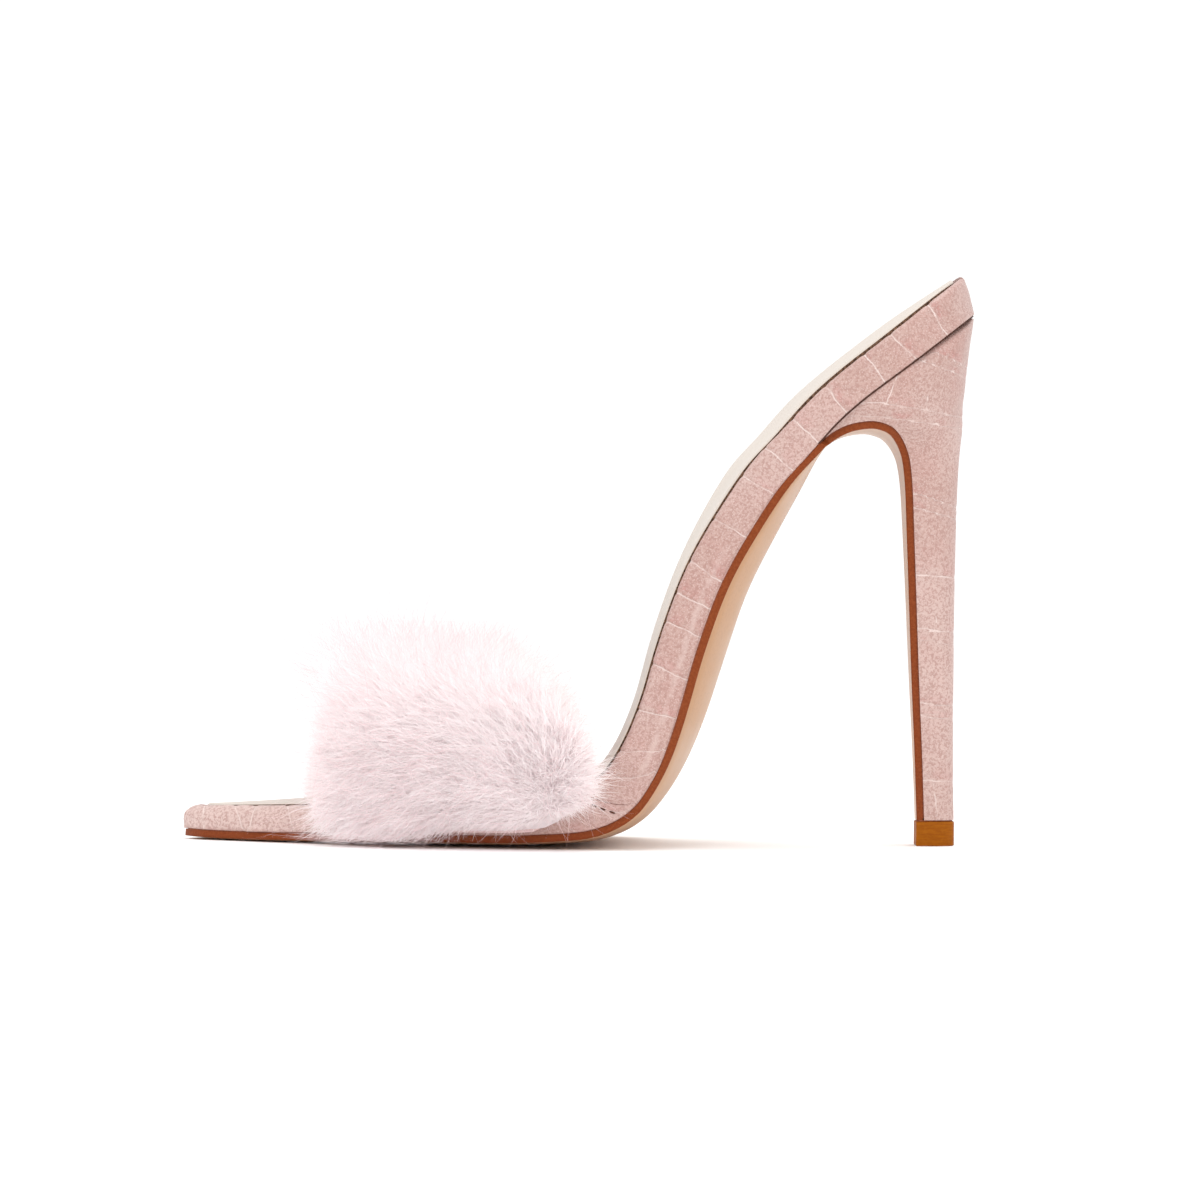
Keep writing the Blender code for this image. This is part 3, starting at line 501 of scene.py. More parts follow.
class Nodes:
    """Builds a material's node tree. Values may be numbers, colours or outputs of other nodes."""

    def __init__(self, name, **fixed):
        self.material = bpy.data.materials.new(name)
        self.material.use_nodes = True
        self.tree = self.material.node_tree
        self.shader = self.tree.nodes["Principled BSDF"]
        for key, value in fixed.items():
            self.shader.inputs[key.replace("_", " ").title().replace("Ior", "IOR")].default_value = value

    def put(self, socket, value):
        if isinstance(value, bpy.types.NodeSocket):
            self.tree.links.new(value, socket)
        elif isinstance(value, tuple) and len(value) == 3 and socket.type == "RGBA":
            socket.default_value = (*value, 1)
        else:
            socket.default_value = value

    def add(self, kind, settings=None, out=0, **values):
        node = self.tree.nodes.new(kind)
        for key, value in (settings or {}).items():
            setattr(node, key, value)
        for key, value in values.items():
            self.put(node.inputs[int(key[1:]) if key[0] == "i" and key[1:].isdigit() else key], value)
        return node.outputs[out]

    def math(self, operation, a, b=0.5, c=0.5):
        return self.add("ShaderNodeMath", {"operation": operation}, i0=a, i1=b, i2=c)

    def times(self, a, b):
        return self.math("MULTIPLY", a, b)

    def off_middle(self, a):
        """How far a value is from one half."""
        return self.math("ABSOLUTE", self.math("SUBTRACT", a, 0.5))

    def mix(self, share, a, b):
        return self.add("ShaderNodeMix", {"data_type": "RGBA"}, 2, i0=share, i6=a, i7=b)

    def ramp(self, value, low, high, out_low=0.0, out_high=1.0):
        settings = {"interpolation_type": "SMOOTHSTEP"}
        return self.add("ShaderNodeMapRange", settings, i0=value, i1=low, i2=high, i3=out_low, i4=out_high)

    def noise(self, place, scale, detail=2.0, rough=0.5):
        return self.add("ShaderNodeTexNoise", Vector=place, Scale=scale, Detail=detail, Roughness=rough)

    def cells(self, place, scale):
        return self.add("ShaderNodeTexVoronoi", Vector=place, Scale=scale)

    def object_place(self):
        return self.add("ShaderNodeTexCoord", out=3)

    def stretch(self, place, scale):
        return self.add("ShaderNodeMapping", Vector=place, Scale=scale)

    def uv(self, name):
        split = self.tree.nodes.new("ShaderNodeSeparateXYZ")
        self.tree.links.new(self.add("ShaderNodeUVMap", {"uv_map": name}), split.inputs[0])
        return split.outputs[0], split.outputs[1]

    def bump(self, height, strength, distance):
        return self.add("ShaderNodeBump", Height=height, Strength=strength, Distance=distance)

    def finish(self, colour, roughness=None, normal=None):
        self.put(self.shader.inputs["Base Color"], colour)
        if roughness is not None:
            self.put(self.shader.inputs["Roughness"], roughness)
        if normal is not None:
            self.put(self.shader.inputs["Normal"], normal)
        return self.material


def cover_material():
    """Pale pink embossed cover: thin creases painted pale as highlight, redder scale middles, fine pebbled
    speckle, and a painted highlight on the upper wall near the toe.
    """
    n = Nodes("embossed_cover", coat_weight=0.12, coat_roughness=0.30, specular_ior_level=0.40)
    place = n.object_place()
    u, share = n.uv("scales")
    cut, spacing = n.uv("splits")
    wander = n.math("SUBTRACT", n.noise(place, 420.0, 3.0, 0.6), 0.5)
    bent = n.math("ADD", u, n.math("DIVIDE", n.times(wander, 0.9), spacing))
    part = n.math("FRACT", bent)
    off = n.times(n.off_middle(n.math("FRACT", n.math("ADD", bent, 0.5))), spacing)
    broken = n.ramp(n.noise(place, 260.0, 2.0), 0.38, 0.56)
    # crease lines, sunk in by the bump; their pale colour is painted highlight
    line = n.times(n.ramp(off, 0.24, 0.07), n.math("MULTIPLY_ADD", broken, 0.65, 0.35))
    bent_cut = n.math("ABSOLUTE", n.math("MULTIPLY_ADD", wander, 0.9, cut))
    line = n.math("MAXIMUM", line, n.times(n.ramp(bent_cut, 0.22, 0.06), broken))
    # a long pale fold low on the wall behind the ball
    zone = n.times(n.ramp(u, 11.6, 12.6), n.ramp(u, 19.5, 17.5))
    fold = n.math("ABSOLUTE", n.math("SUBTRACT", share, n.math("MULTIPLY_ADD", wander, 0.10, 0.30)))
    fold = n.times(n.ramp(fold, 0.13, 0.02), n.times(zone, broken))
    # fine wrinkles beside the creases
    fine = n.off_middle(n.noise(n.stretch(place, (1.0, 0.35, 1.0)), 560.0, 4.0, 0.7))
    fine = n.times(n.ramp(fine, 0.035, 0.0), n.ramp(off, 3.2, 0.2))
    # redder patches between the creases, a painted highlight on the wall's upper part near the toe, paler
    # ends at low crease counts, and a fine pebbled speckle
    patch = n.noise(place, 120.0, 3.0, 0.6)
    band = n.times(n.ramp(off, 3.4, 0.9), n.ramp(off, 0.2, 0.7))
    band = n.times(band, n.ramp(part, 0.5, 0.42))
    redder = n.times(n.ramp(patch, 0.42, 0.62), n.math("MULTIPLY_ADD", band, 0.75, 0.25))
    pebble = n.cells(place, 1900.0)
    speck = n.noise(place, 1500.0, 3.0, 0.75)
    # painted highlight: the wall's upper part near the toe; ends adds a paler tone at low crease counts
    # (the toe end, the heel's lower part)
    rim = n.times(n.ramp(share, 0.45, 0.90), n.ramp(u, 10.0, 5.0, 0.0, 0.60))
    ends = n.math("MAXIMUM", rim, n.ramp(u, 9.0, 4.0, 0.0, 0.85))
    colour = n.mix(redder, COVER_TONE, COVER_RED)
    for amount, over in (
        (n.ramp(n.noise(place, 38.0, 2.0), 0.42, 0.66, 0.0, 0.35), COVER_PALE),
        # painted highlight near the toe, with the paler ends
        (n.times(ends, n.ramp(share, -0.1, 0.1)), COVER_PALE),
        (n.ramp(speck, 0.44, 0.58, 0.0, 0.62), COVER_DEEP),
        (n.ramp(pebble, 0.45, 0.10, 0.0, 0.62), COVER_PALE),
        (n.times(fine, 0.40), COVER_PALE),
        (n.times(fold, 0.45), COVER_PALE),
        # painted highlight along the creases
        (n.times(line, 0.72), COVER_CREASE_HIGHLIGHT),
    ):
        colour = n.mix(amount, colour, over)
    rough = n.math("MULTIPLY_ADD", line, 0.12, n.ramp(patch, 0.3, 0.7, 0.42, 0.52))
    height = n.math("MULTIPLY_ADD", line, -0.8, n.times(pebble, -0.40))
    height = n.math("MULTIPLY_ADD", fine, -0.22, height)
    return n.finish(colour, rough, n.bump(height, 0.7, 0.00014))


def plain_leather(name, colour, grain, roughness, coat, spread, bump):
    """Smooth leather with a fine grain and soft blotches. spread is how much the tone varies."""
    n = Nodes(name, coat_weight=coat, coat_roughness=0.3)
    place = n.object_place()
    speck = n.noise(place, grain, 3.0, 0.6)
    blotch = n.noise(place, 55.0, 3.0, 0.6)
    dark = tuple(c * (1 - spread * 3) for c in colour)
    pale = tuple(min(1.0, c * (1 + spread)) for c in colour)
    tone = n.mix(n.ramp(blotch, 0.35, 0.65), colour, pale)
    tone = n.mix(n.ramp(speck, 0.45, 0.70, 0.0, 0.5), tone, dark)
    rough = n.ramp(blotch, 0.3, 0.7, roughness - 0.05, roughness + 0.05)
    return n.finish(tone, rough, n.bump(speck, bump, 0.00008))


def edge_material(name, colour, pale, roughness=0.45):
    """A raw or painted edge or a thread: fine dark and light specks."""
    n = Nodes(name, specular_ior_level=0.10)
    place = n.object_place()
    speck = n.noise(place, 1900.0, 3.0, 0.7)
    tone = n.mix(n.ramp(speck, 0.40, 0.62), colour, pale)
    return n.finish(tone, roughness, n.bump(speck, 0.3, 0.0001))


def top_piece_material():
    n = Nodes("lift_rubber", specular_ior_level=0.06)
    place = n.object_place()
    lines = n.noise(n.stretch(place, (0.12, 0.12, 1.0)), 2600.0, 2.0, 0.5)
    speck = n.noise(place, 1400.0, 2.0)
    tone = n.mix(n.ramp(lines, 0.35, 0.65), (0.306, 0.089, 0.004), (0.251, 0.067, 0.003))
    tone = n.mix(n.ramp(speck, 0.5, 0.7, 0.0, 0.3), tone, (0.350, 0.116, 0.008))
    return n.finish(tone, 0.5, n.bump(lines, 0.3, 0.0001))


def fur_material(name, tip_deep=(0.976, 0.942, 0.944), tip_pale=(0.984, 0.958, 0.960)):
    """Soft pile: pinker and a little darker at the root as painted shade of the pile's depth, near white at
    the tip, each hair a little different, lit through.
    """
    n = Nodes(name, roughness=0.6, specular_ior_level=0.20, sheen_weight=0.25, sheen_roughness=0.5)
    own, along = n.uv("hair")
    # painted shade: the roots, deep in the pile, a little darker and pinker than the tips
    root = n.mix(own, (0.970, 0.930, 0.934), (0.978, 0.944, 0.948))
    tip = n.mix(own, tip_deep, tip_pale)
    colour = n.mix(n.ramp(along, 0.0, 0.75), root, tip)
    made = n.finish(colour)
    through = n.tree.nodes.new("ShaderNodeBsdfTranslucent")
    n.put(through.inputs["Color"], colour)
    both = n.tree.nodes.new("ShaderNodeMixShader")
    both.inputs[0].default_value = 0.6
    n.tree.links.new(n.shader.outputs[0], both.inputs[1])
    n.tree.links.new(through.outputs[0], both.inputs[2])
    n.tree.links.new(both.outputs[0], n.tree.nodes["Material Output"].inputs[0])
    return made


# Footbed cover


def cover_ring(s, bottom=14, wall=9, turn=9, top=22):
    """One closed section of the wrapped footbed, with each point's share up the wall."""
    row = Section(*SOLE_LINE.read(s)[0])
    left, right, slants = edges_at(s)
    radius = min(row.roll * RIM_RADIUS, 0.62 * row.thick * FOOTBED_THICKNESS)
    half = (right - left) / 2
    tuck = min(TUCK_RADIUS, half * 0.4)
    lap = COVER_LAP if s < lap_length() else 0.0
    trough = crease_trough(s)

    def side(edge, slant, sign):
        outer = edge + sign * (lap - trough) * slant
        low, high = wall_heights(s, edge)
        high -= trough
        rows = []
        for a in np.linspace(0.15, math.pi / 2, 5):
            inward, up = tuck * (1 - math.sin(a)), TUCK_RADIUS * (1 - math.cos(a))
            rows.append((outer - sign * inward, low + up, 0.0))
        for height in np.linspace(low + TUCK_RADIUS, high - radius, wall + 2)[1:-1]:
            rows.append((outer, height, (height - low) / (high - low)))
        for a in np.linspace(0, math.pi / 2, turn):
            inward = min(radius / slant, half * 0.95) * (1 - math.cos(a))
            height = high - radius * (1 - rise_share(s, radius, a))
            rows.append((outer - sign * inward, height, (height - low) / (high - low)))
        return rows

    ring = []
    for y in np.linspace(left + tuck, right - tuck, bottom):
        ring.append((y, wall_heights(s, y)[0], 0.0))
    ring += side(right, slants[1], 1)
    far = side(left, slants[0], -1)
    dip = radius * (1 - rise_share(s, radius, math.pi / 2)) + trough
    for y in np.linspace(ring[-1][0], far[-1][0], top + 2)[1:-1]:
        ring.append((y, wall_heights(s, y)[1] - dip, 1.0))
    ring += far[::-1]
    y, height, share = (np.array(c) for c in zip(*ring))
    base = np.full(len(y), s)
    moved = base + lap_shift(base, share) + crease_shift(base, share)
    return place(moved, y, height), share


def rise_share(s, radius, angle):
    """How far up its round the rim has come at this angle, held down near the footbed's ends."""
    ends = min(s, SOLE_LINE.length - s)
    cover = math.sqrt(max(0.0, 1 - (1 - min(ends / radius, 1)) ** 2))
    return min(math.sin(angle), cover) if ends < radius else math.sin(angle)


def make_cover(material, lap_edge_and_shadow):
    """The wrapped footbed. Its maps say where each point lies between the creases."""
    lengths = dense_stations()
    rings, maps = [], []
    for s in lengths:
        points, share = cover_ring(s)
        index = np.interp(s, CREASE_MID, np.arange(len(CREASES)))
        spacing = np.interp(index, np.arange(len(CREASES) - 1) + 0.5, np.diff(CREASE_MID)) * 1000
        rings.append(points)
        maps.append(np.stack([np.full(len(points), c) for c in (index, share, NO_SPLIT, spacing)], axis=1))
    mesh = tube("cover", rings)
    maps = np.concatenate(maps)
    set_uv(mesh, "scales", maps[:, :2])
    set_uv(mesh, "splits", maps[:, 2:])
    size = len(rings[0])
    lap = int(np.argmin(np.abs(lengths - lap_length() - LAP_STEP)))
    for face in mesh.polygons[(lap - 1) * size : lap * size]:
        face.material_index = 1
    # a dark line along the lap: painted shadow of its step, in the cut edge's material
    make_lap_shadow_line(*cover_ring(lengths[lap]), lap_edge_and_shadow)
    return add_piece("cover", mesh, [material, lap_edge_and_shadow], ["footbed"])


def make_lap_shadow_line(ring, share, material):
    """A fine dark line up each wall along the lap's cut edge: painted shadow of the lap's step."""
    lines = []
    for side in (-1, 1):
        used = (ring[:, 1] * side > 0.005) & (share > 0.0) & (share < 1.0)
        path = ring[used][np.argsort(share[used])]
        path[:, 1] += side * LAP_LINE_LIFT
        way = unit(np.gradient(path, axis=0))
        across = unit(np.cross(way, [0.0, 1.0, 0.0]))
        out = np.cross(across, way)
        rings = [circle(p, LAP_LINE_RADIUS, a, o, 6) for p, a, o in zip(path, across, out)]
        lines.append(tube("line", rings))
    add_piece("lap_shadow_line", joined("lap_shadow_line", lines), [material])


# The row of stitches beside the lap's edge
STITCHES = 4
STITCH_START = 0.0972  # length at which the row starts, near the rim
STITCH_RUN = 0.0092  # how far back the row runs on its way down
STITCH_HIGH = 0.84  # share up the wall at which it starts
STITCH_DROP = 0.80
STITCH_REACH = 0.30  # half a stitch, as a share of the row's pitch
STITCH_RADIUS = 0.00021
STITCH_SINK = 0.00012  # how far a stitch's ends go into the cover
STITCH_LIFT = 0.00006  # how far the middle line of a stitch stands off the cover


def make_stitches(material, cover):
    """Four short stitches beside the lap's edge on each side, sunk a little into the cover."""
    surface = BVHTree.FromObject(cover, bpy.context.evaluated_depsgraph_get())
    thick = STITCH_RADIUS * np.sqrt(1 - np.linspace(-0.93, 0.93, 7) ** 4)
    bars = []
    for side in (-1, 1):
        for k in range(STITCHES):
            path = []
            for t in np.linspace(-STITCH_REACH, STITCH_REACH, 7):
                q = (k + 0.5 + t) / STITCHES
                s, share = STITCH_START + STITCH_RUN * q, STITCH_HIGH - STITCH_DROP * q
                edge = edges_at(s)[0 if side < 0 else 1]
                low, high = wall_heights(s, edge)
                x, _, z = place(np.array([s]), [edge], [low + (high - low) * share])[0]
                seen = surface.ray_cast(Vector((x, side * 0.1, z)), Vector((0, -side, 0)))[0]
                off = STITCH_LIFT - STITCH_SINK * (t / STITCH_REACH) ** 4
                path.append(np.array([x, seen.y + side * off, z]))
            across = unit(np.cross(path[-1] - path[0], [0, 1, 0]))
            out = np.array([0, 0.8, 0])
            bars.append(tube("bar", [circle(p, w, across, out, 8) for p, w in zip(path, thick)]))
    add_piece("stitches", joined("stitches", bars), [material])


# Sock

RAW_EDGE = 0.00050  # height of the dark raw edge that shows above the rim
SOCK_ROLL = 0.0009
SOCK_TURN = 5
SOCK_POINTS = 25  # across its underside
SOCK_TOE = 0.0035  # length at which the close sections at its toe start
SOCK_SEAT = 0.0028  # how far before the seat's end the close sections at its rear end stop
SOCK_SEAT_RADIUS = 0.0209
SOCK_EVEN = (0.0107, 0.0213)  # where the even sections start, and how far before the last one they stop
SOCK_SINK = 0.00006  # how far it goes into the cover
SOCK_LEAST_WIDTH = 0.0022


def make_insole(top_material, edge):
    """The sock: its underside, raw edges with rolled shoulders, and the pillowed top."""
    seat = SOLE_LINE.length - SOCK_SEAT
    toe_turn, seat_turn = np.radians(np.linspace(8, 90, 12)), np.radians(np.linspace(88, 5, 20))
    lengths = [
        SOCK_TOE + TOE_TIP_RADIUS * (1 - np.cos(toe_turn)),
        np.linspace(SOCK_EVEN[0], seat - SOCK_EVEN[1], 120),
        seat - SOCK_SEAT_RADIUS * (1 - np.cos(seat_turn)),
    ]
    rings = []
    for s in np.sort(np.concatenate(lengths)):
        left, right, slants = edges_at(s)
        margin = section_at(s).roll[0] * RIM_RADIUS + INSOLE_MARGIN
        left, right = left + margin / slants[0], right - margin / slants[1]
        if right - left < SOCK_LEAST_WIDTH or min(s, SOLE_LINE.length - s) < margin:
            continue
        y = np.linspace(left, right, SOCK_POINTS)
        v = (y - (left + right) / 2) / ((right - left) / 2)
        base = top_height(np.full(SOCK_POINTS, s), y) - SOCK_SINK
        skived = INSOLE_SKIVE + (1 - INSOLE_SKIVE) * min(s / INSOLE_SKIVE_RUN, 1)
        rise = GAP + INSOLE_THICKNESS * skived
        top = base + rise + INSOLE_PILLOW * (1 - np.abs(v) ** 3) * skived
        raw = GAP + RAW_EDGE * skived
        roll = min(SOCK_ROLL, (right - left) * 0.2)
        y_top = left + roll + (y - left) * (1 - 2 * roll / (right - left))
        turn = np.linspace(0, math.pi / 2, SOCK_TURN + 1)[:-1]
        out, up = roll * (1 - np.cos(turn)), (rise - raw) * np.sin(turn)
        ring_y = np.concatenate([y, right - out, y_top[::-1], (left + out)[::-1]])
        ring_h = np.concatenate([base, base[-1] + raw + up, top[::-1], (base[0] + raw + up)[::-1]])
        moved = s + lap_shift(np.full(len(ring_y), s), 1.0)
        rings.append(place(moved, ring_y, ring_h))
    mesh = tube("insole", rings)
    size = len(rings[0])
    for k, face in enumerate(mesh.polygons):
        if k >= size * (len(rings) - 1) or k % size in (SOCK_POINTS - 1, size - 1):
            face.material_index = 1
    piece = add_piece("sock", mesh, [top_material, edge], ["insole"], sharp=60)


# Sole


OUTSOLE_POINTS = 15  # across its top face, and across its underside
EDGE_SOFTENING = ((0.0, 1.0), (0.30, 0.30))  # the lower edge's round, in shares of its bevel: in, up
ARCH_LEAD = 0.012  # how far before the mouth the line over the arch starts
ARCH_REACH = (0.045, 0.047)  # where along that line the close sections end and the even ones start


def outsole_ring(points_on, left, right, heights):
    """One closed section of the sole, with softened lower edges."""
    bevel = min(SOLE_EDGE_BEVEL, (right - left) / 2 * 0.3)
    y_top = np.linspace(left, right, OUTSOLE_POINTS)
    y_low = np.linspace(right - bevel, left + bevel, OUTSOLE_POINTS)
    top, low = heights(y_top), heights(y_low) - SOLE_THICKNESS
    near = [(right - bevel * a, top[-1] - SOLE_THICKNESS + SOLE_EDGE_BEVEL * b) for a, b in EDGE_SOFTENING]
    far = [(left + bevel * a, top[0] - SOLE_THICKNESS + SOLE_EDGE_BEVEL * b) for a, b in EDGE_SOFTENING]
    y = np.concatenate([y_top, [p[0] for p in near], y_low, [p[0] for p in far[::-1]]])
    height = np.concatenate([top, [p[1] for p in near], low, [p[1] for p in far[::-1]]])
    return points_on(y, height)


def breast_line():
    """The sole's top face over the arch and down the breast, from a little before the mouth."""
    mouth = length_at_run(MOUTH)
    lead = SOLE_LINE.read([mouth - ARCH_LEAD, mouth - ARCH_LEAD / 2, mouth])[:, :2]
    arch = [(run_to_x(row.along), rise_to_z(row.rise)) for row in ARCH_LINE]
    points = [*lead, *arch, (run_to_x(BREAST_FOOT), TOP_PIECE_HEIGHT + GAP)]
    return Line(points, [[0.0]] * len(points), EVENING / 4)


BREAST_LINE = breast_line()


def breast_stations(first, count):
    """Lengths over the arch and down the breast, the first of them so far behind the mouth."""
    over = np.linspace(ARCH_LEAD + first, ARCH_LEAD + ARCH_REACH[0], count)
    return np.concatenate([over, np.linspace(ARCH_LEAD + ARCH_REACH[1], BREAST_LINE.length, 40)])


def stem_at(z):
    """Front, back, half width and wing half width of the heel's level section at height z."""
    rise = np.array([row.rise for row in STEM])
    rows = np.array([row[1:] for row in STEM])
    at = np.clip((z - SOLE_THICKNESS) / SEAT_RISE, rise[0], rise[-1])
    front, back, half, wing = sample_curve(rise, rows, np.array([at]))[0]
    low = HEEL_TIP_WIDTH / SEAT_WIDTH / STEM[0].half
    grow = low + (1 - low) * min(1.0, (half - STEM[0].half) / (1 - STEM[0].half) * 3)
    half_width = half * SEAT_WIDTH / 2 * grow
    return run_to_x(front), run_to_x(back), half_width, max(half_width, wing * SEAT_WIDTH / 2)


def heel_half_width(x, z):
    """Half width of the heel block at x on its level section at height z."""
    front, back, half, wing = stem_at(z)
    if x >= front:
        q = min((x - front) / (back - front), 1.0)
        return half * (1 - q**BREAST_ROUND) ** (1 / BREAST_ROUND)
    q = min((front - x) / (front - run_to_x(WING_START)), 1.0)
    return half + (wing - half) * q


def on_breast(s):
    """The breast line's point at length s, and a function that puts points off it."""
    point, normal = BREAST_LINE.read(s)[0, :2], BREAST_LINE.normal(s)[0]
    if s == BREAST_LINE.length:
        normal = np.array([1.0, 0.0])
    return point, lambda y, h: np.stack([point[0] + normal[0] * h, y, point[1] + normal[1] * h], axis=1)


def make_outsole(underside, edge):
    """The sole in one piece: under the footbed to the mouth, then over the arch and down the breast."""
    mouth = length_at_run(MOUTH)
    lengths = dense_stations(0.0022)
    rings = []
    for s in [*lengths[lengths < mouth - 0.001], mouth]:
        left, right, _ = edges_at(s)
        inset = min(SOLE_INSET, (right - left) * 0.1)
        moved = s + float(lap_shift(s, 0.0)) + SOLE_TOE_INSET * max(0.0, 1 - s / TOE_TIP_RADIUS)

        def heights(y, s=s):
            return bottom_height(np.full(len(y), s), y)

        def points_on(y, height, moved=moved):
            return place(np.full(len(y), moved), y, height)

        rings.append(outsole_ring(points_on, left + inset, right - inset, heights))
    for s in breast_stations(0.0015, 40):
        point, points_on = on_breast(s)
        half = heel_half_width(*point) - SOLE_INSET
        rings.append(outsole_ring(points_on, -half, half, np.zeros_like))
    mesh = tube("sole", rings)
    size, points = len(rings[0]), OUTSOLE_POINTS
    sides = {points - 1, points, points + 1, 2 * points + 1, 2 * points + 2, 2 * points + 3}
    for k, face in enumerate(mesh.polygons[: size * (len(rings) - 1)]):
        if k % size in sides:
            face.material_index = 1
    add_piece("sole", mesh, [underside, edge], ["outsole"], sharp=50)


# Heel

# Side-view creases of the heel, in mm: x and z of the line's front and rear end.
HEEL_CREASES = [
    ((113.5, 1.0), (123.0, 1.0)),
    ((113.5, 15.8), (123.0, 15.4)),
    ((113.5, 31.6), (123.0, 30.8)),
    ((113.5, 34.0), (123.0, 33.4)),
    ((113.2, 49.8), (123.0, 48.6)),
    ((113.2, 51.8), (123.0, 51.0)),
    ((113.0, 64.9), (122.8, 64.2)),
    ((113.3, 81.0), (122.6, 78.6)),
    ((113.3, 84.0), (122.6, 81.0)),
    ((103.3, 102.2), (122.4, 100.0)),
    ((103.3, 105.0), (122.4, 102.4)),
    ((112.5, 115.6), (124.7, 112.0)),
    ((112.5, 118.2), (124.7, 114.0)),
    ((115.0, 136.0), (126.0, 132.0)),
]
HEEL_CREASE_REACH = 0.0006
# Upright creases: x and z of the lower and the upper end.
HEEL_SPLITS = [
    ((119.4, 6.7), (118.2, 15.7)),
    ((118.6, 52.9), (117.5, 63.2)),
    ((114.8, 102.3), (115.0, 107.0)),
    ((104.8, 104.1), (108.0, 112.5)),
]


def heel_map(points):
    """For each heel point: crease index counted up the heel, mm from an upright crease, crease spacing."""
    x, z = points[:, 0] * 1000, points[:, 2] * 1000
    at = np.stack([a[1] + (b[1] - a[1]) * ramped(x, a[0], b[0] - a[0]) for a, b in HEEL_CREASES])
    index, spacing = np.zeros(len(x)), np.full(len(x), 14.0)
    for k in range(len(HEEL_CREASES) - 1):
        share = (z - at[k]) / (at[k + 1] - at[k])
        index += np.clip(share, 0, 1)
        spacing = np.where((share >= 0) & (share < 1), at[k + 1] - at[k], spacing)
    split = np.full(len(x), NO_SPLIT)
    for a, b in HEEL_SPLITS:
        inside = (z > a[1]) & (z < b[1])
        off = x - (a[0] + (b[0] - a[0]) * (z - a[1]) / (b[1] - a[1]))
        closer = np.abs(off) < np.abs(split)
        split = np.where(inside & closer, off, np.where(closer & ~inside, np.sign(off) * NO_SPLIT, split))
    return np.stack([index, split, spacing], axis=1)


def heel_block_ring(z, sides=14, rounds=26):
    """The heel's level section at height z, before the arch and the seat are cut from it."""
    front, back, _, _ = stem_at(z)
    start = run_to_x(WING_START)
    turn = np.linspace(0, math.pi / 2, rounds)
    x = np.concatenate([np.linspace(start, front, sides + 1)[:-1], front + (back - front) * np.sin(turn)])
    y = np.array([heel_half_width(value, z) for value in x])
    y[-1] = 0.0
    near = [(a, -b, z) for a, b in zip(x, y)]
    far = [(a, b, z) for a, b in zip(x[-2::-1], y[-2::-1])]
    return np.array(near + far)


def pressed(ring):
    """The heel's section with its crease troughs pressed in."""
    mapped = heel_map(ring)
    near = np.abs(mapped[:, 0] - np.round(mapped[:, 0])) * mapped[:, 2] / 1000
    depth = CREASE_DEPTH * np.exp(-((near / HEEL_CREASE_REACH) ** 2))
    middle = np.array([ring[:, 0].max() - 0.004, 0.0, ring[0, 2]])
    return ring + unit((middle - ring) * [0.5, 1.0, 1.0]) * depth[:, None]


def prism(name, outline):
    """A cutter as wide as twice the seat, from its side view."""
    ends = [[(x, y, z) for x, z in outline] for y in (-SEAT_WIDTH, SEAT_WIDTH)]
    return put_in_scene(name, tube(name, ends))


def make_heel(material):
    """The heel: level sections with pressed creases, cut to the arch's and the footbed's line."""
    low = TOP_PIECE_HEIGHT + GAP
    heights = [np.arange(low, rise_to_z(0.60), 0.0011), np.linspace(rise_to_z(0.605), rise_to_z(1), 72)]
    rings = [pressed(heel_block_ring(z)) for z in np.concatenate(heights)]
    block = put_in_scene("block", tube("block", rings))
    over = np.concatenate([[ARCH_LEAD - 0.010, ARCH_LEAD], breast_stations(0.001, 60)])
    face = BREAST_LINE.read(over)[:, :2] + BREAST_LINE.normal(over) * GAP
    far = run_to_x(WING_START) - 0.02
    arch = [*map(tuple, face), (face[-1][0], -0.01), (far, -0.01), (far, face[0][1])]
    lengths = np.linspace(length_at_run(MOUTH) - 0.010, SOLE_LINE.length + 0.012, 60)
    face = SOLE_LINE.read(lengths)[:, :2]
    top = face[-1][1] + 0.05
    seat = [*map(tuple, face), (face[-1][0], top), (face[0][0], top)]
    cutters = [prism("arch_cut", arch), prism("seat_cut", seat)]
    for cutter in cutters:
        cut = block.modifiers.new(cutter.name, "BOOLEAN")
        cut.operation = "DIFFERENCE"
        cut.solver = "EXACT"
        cut.object = cutter
    bpy.context.view_layer.update()
    mesh = bpy.data.meshes.new_from_object(block.evaluated_get(bpy.context.evaluated_depsgraph_get()))
    for item in (block, *cutters):
        bpy.data.objects.remove(item)
    points = np.zeros(len(mesh.vertices) * 3)
    mesh.vertices.foreach_get("co", points)
    mapped = heel_map(points.reshape(-1, 3))
    set_uv(mesh, "scales", np.stack([mapped[:, 0], mapped[:, 0] * 0], axis=1))
    set_uv(mesh, "splits", mapped[:, 1:])
    mesh.materials.clear()
    add_piece("heel_wrap", mesh, [material], ["heel"], sharp=35)


# The lift's level sections: height, and how far its outline is drawn in there.
LIFT_LEVELS = (
    (0, 0.00025),
    (0.00012, 0.0001),
    (0.0003, 0),
    (0.0030, 0),
    (0.0056, 0),
    (0.0058, 0.0001),
    (TOP_PIECE_HEIGHT, 0.0003),
)


def make_top_piece(material):
    front, back, half, _ = stem_at(TOP_PIECE_HEIGHT)
    front -= SOLE_THICKNESS
    turn = np.linspace(0, math.pi / 2, 25)
    x = np.concatenate([[front], front + SOLE_THICKNESS + (back - front - SOLE_THICKNESS) * np.sin(turn)])
    y = np.concatenate([[half], half * np.cos(turn) ** (2 / BREAST_ROUND)])
    y[-1] = 0.0
    x, y = x + TOP_PIECE_FLARE * np.sign(x - x.mean()), y + TOP_PIECE_FLARE * (y > 0)
    plan = np.array([*zip(x, -y), *zip(x[-2::-1], y[-2::-1])])
    inward = unit(plan.mean(axis=0) - plan)
    rings = [[(a, b, z) for a, b in plan + inward * inset] for z, inset in LIFT_LEVELS]
    add_piece("lift", tube("lift", rings), [material], ["top_piece"], sharp=50)


# Bond lines in the narrow gaps between glued pieces

BOND_OVER = 0.00004  # how far a bond goes into the pieces on both sides of it


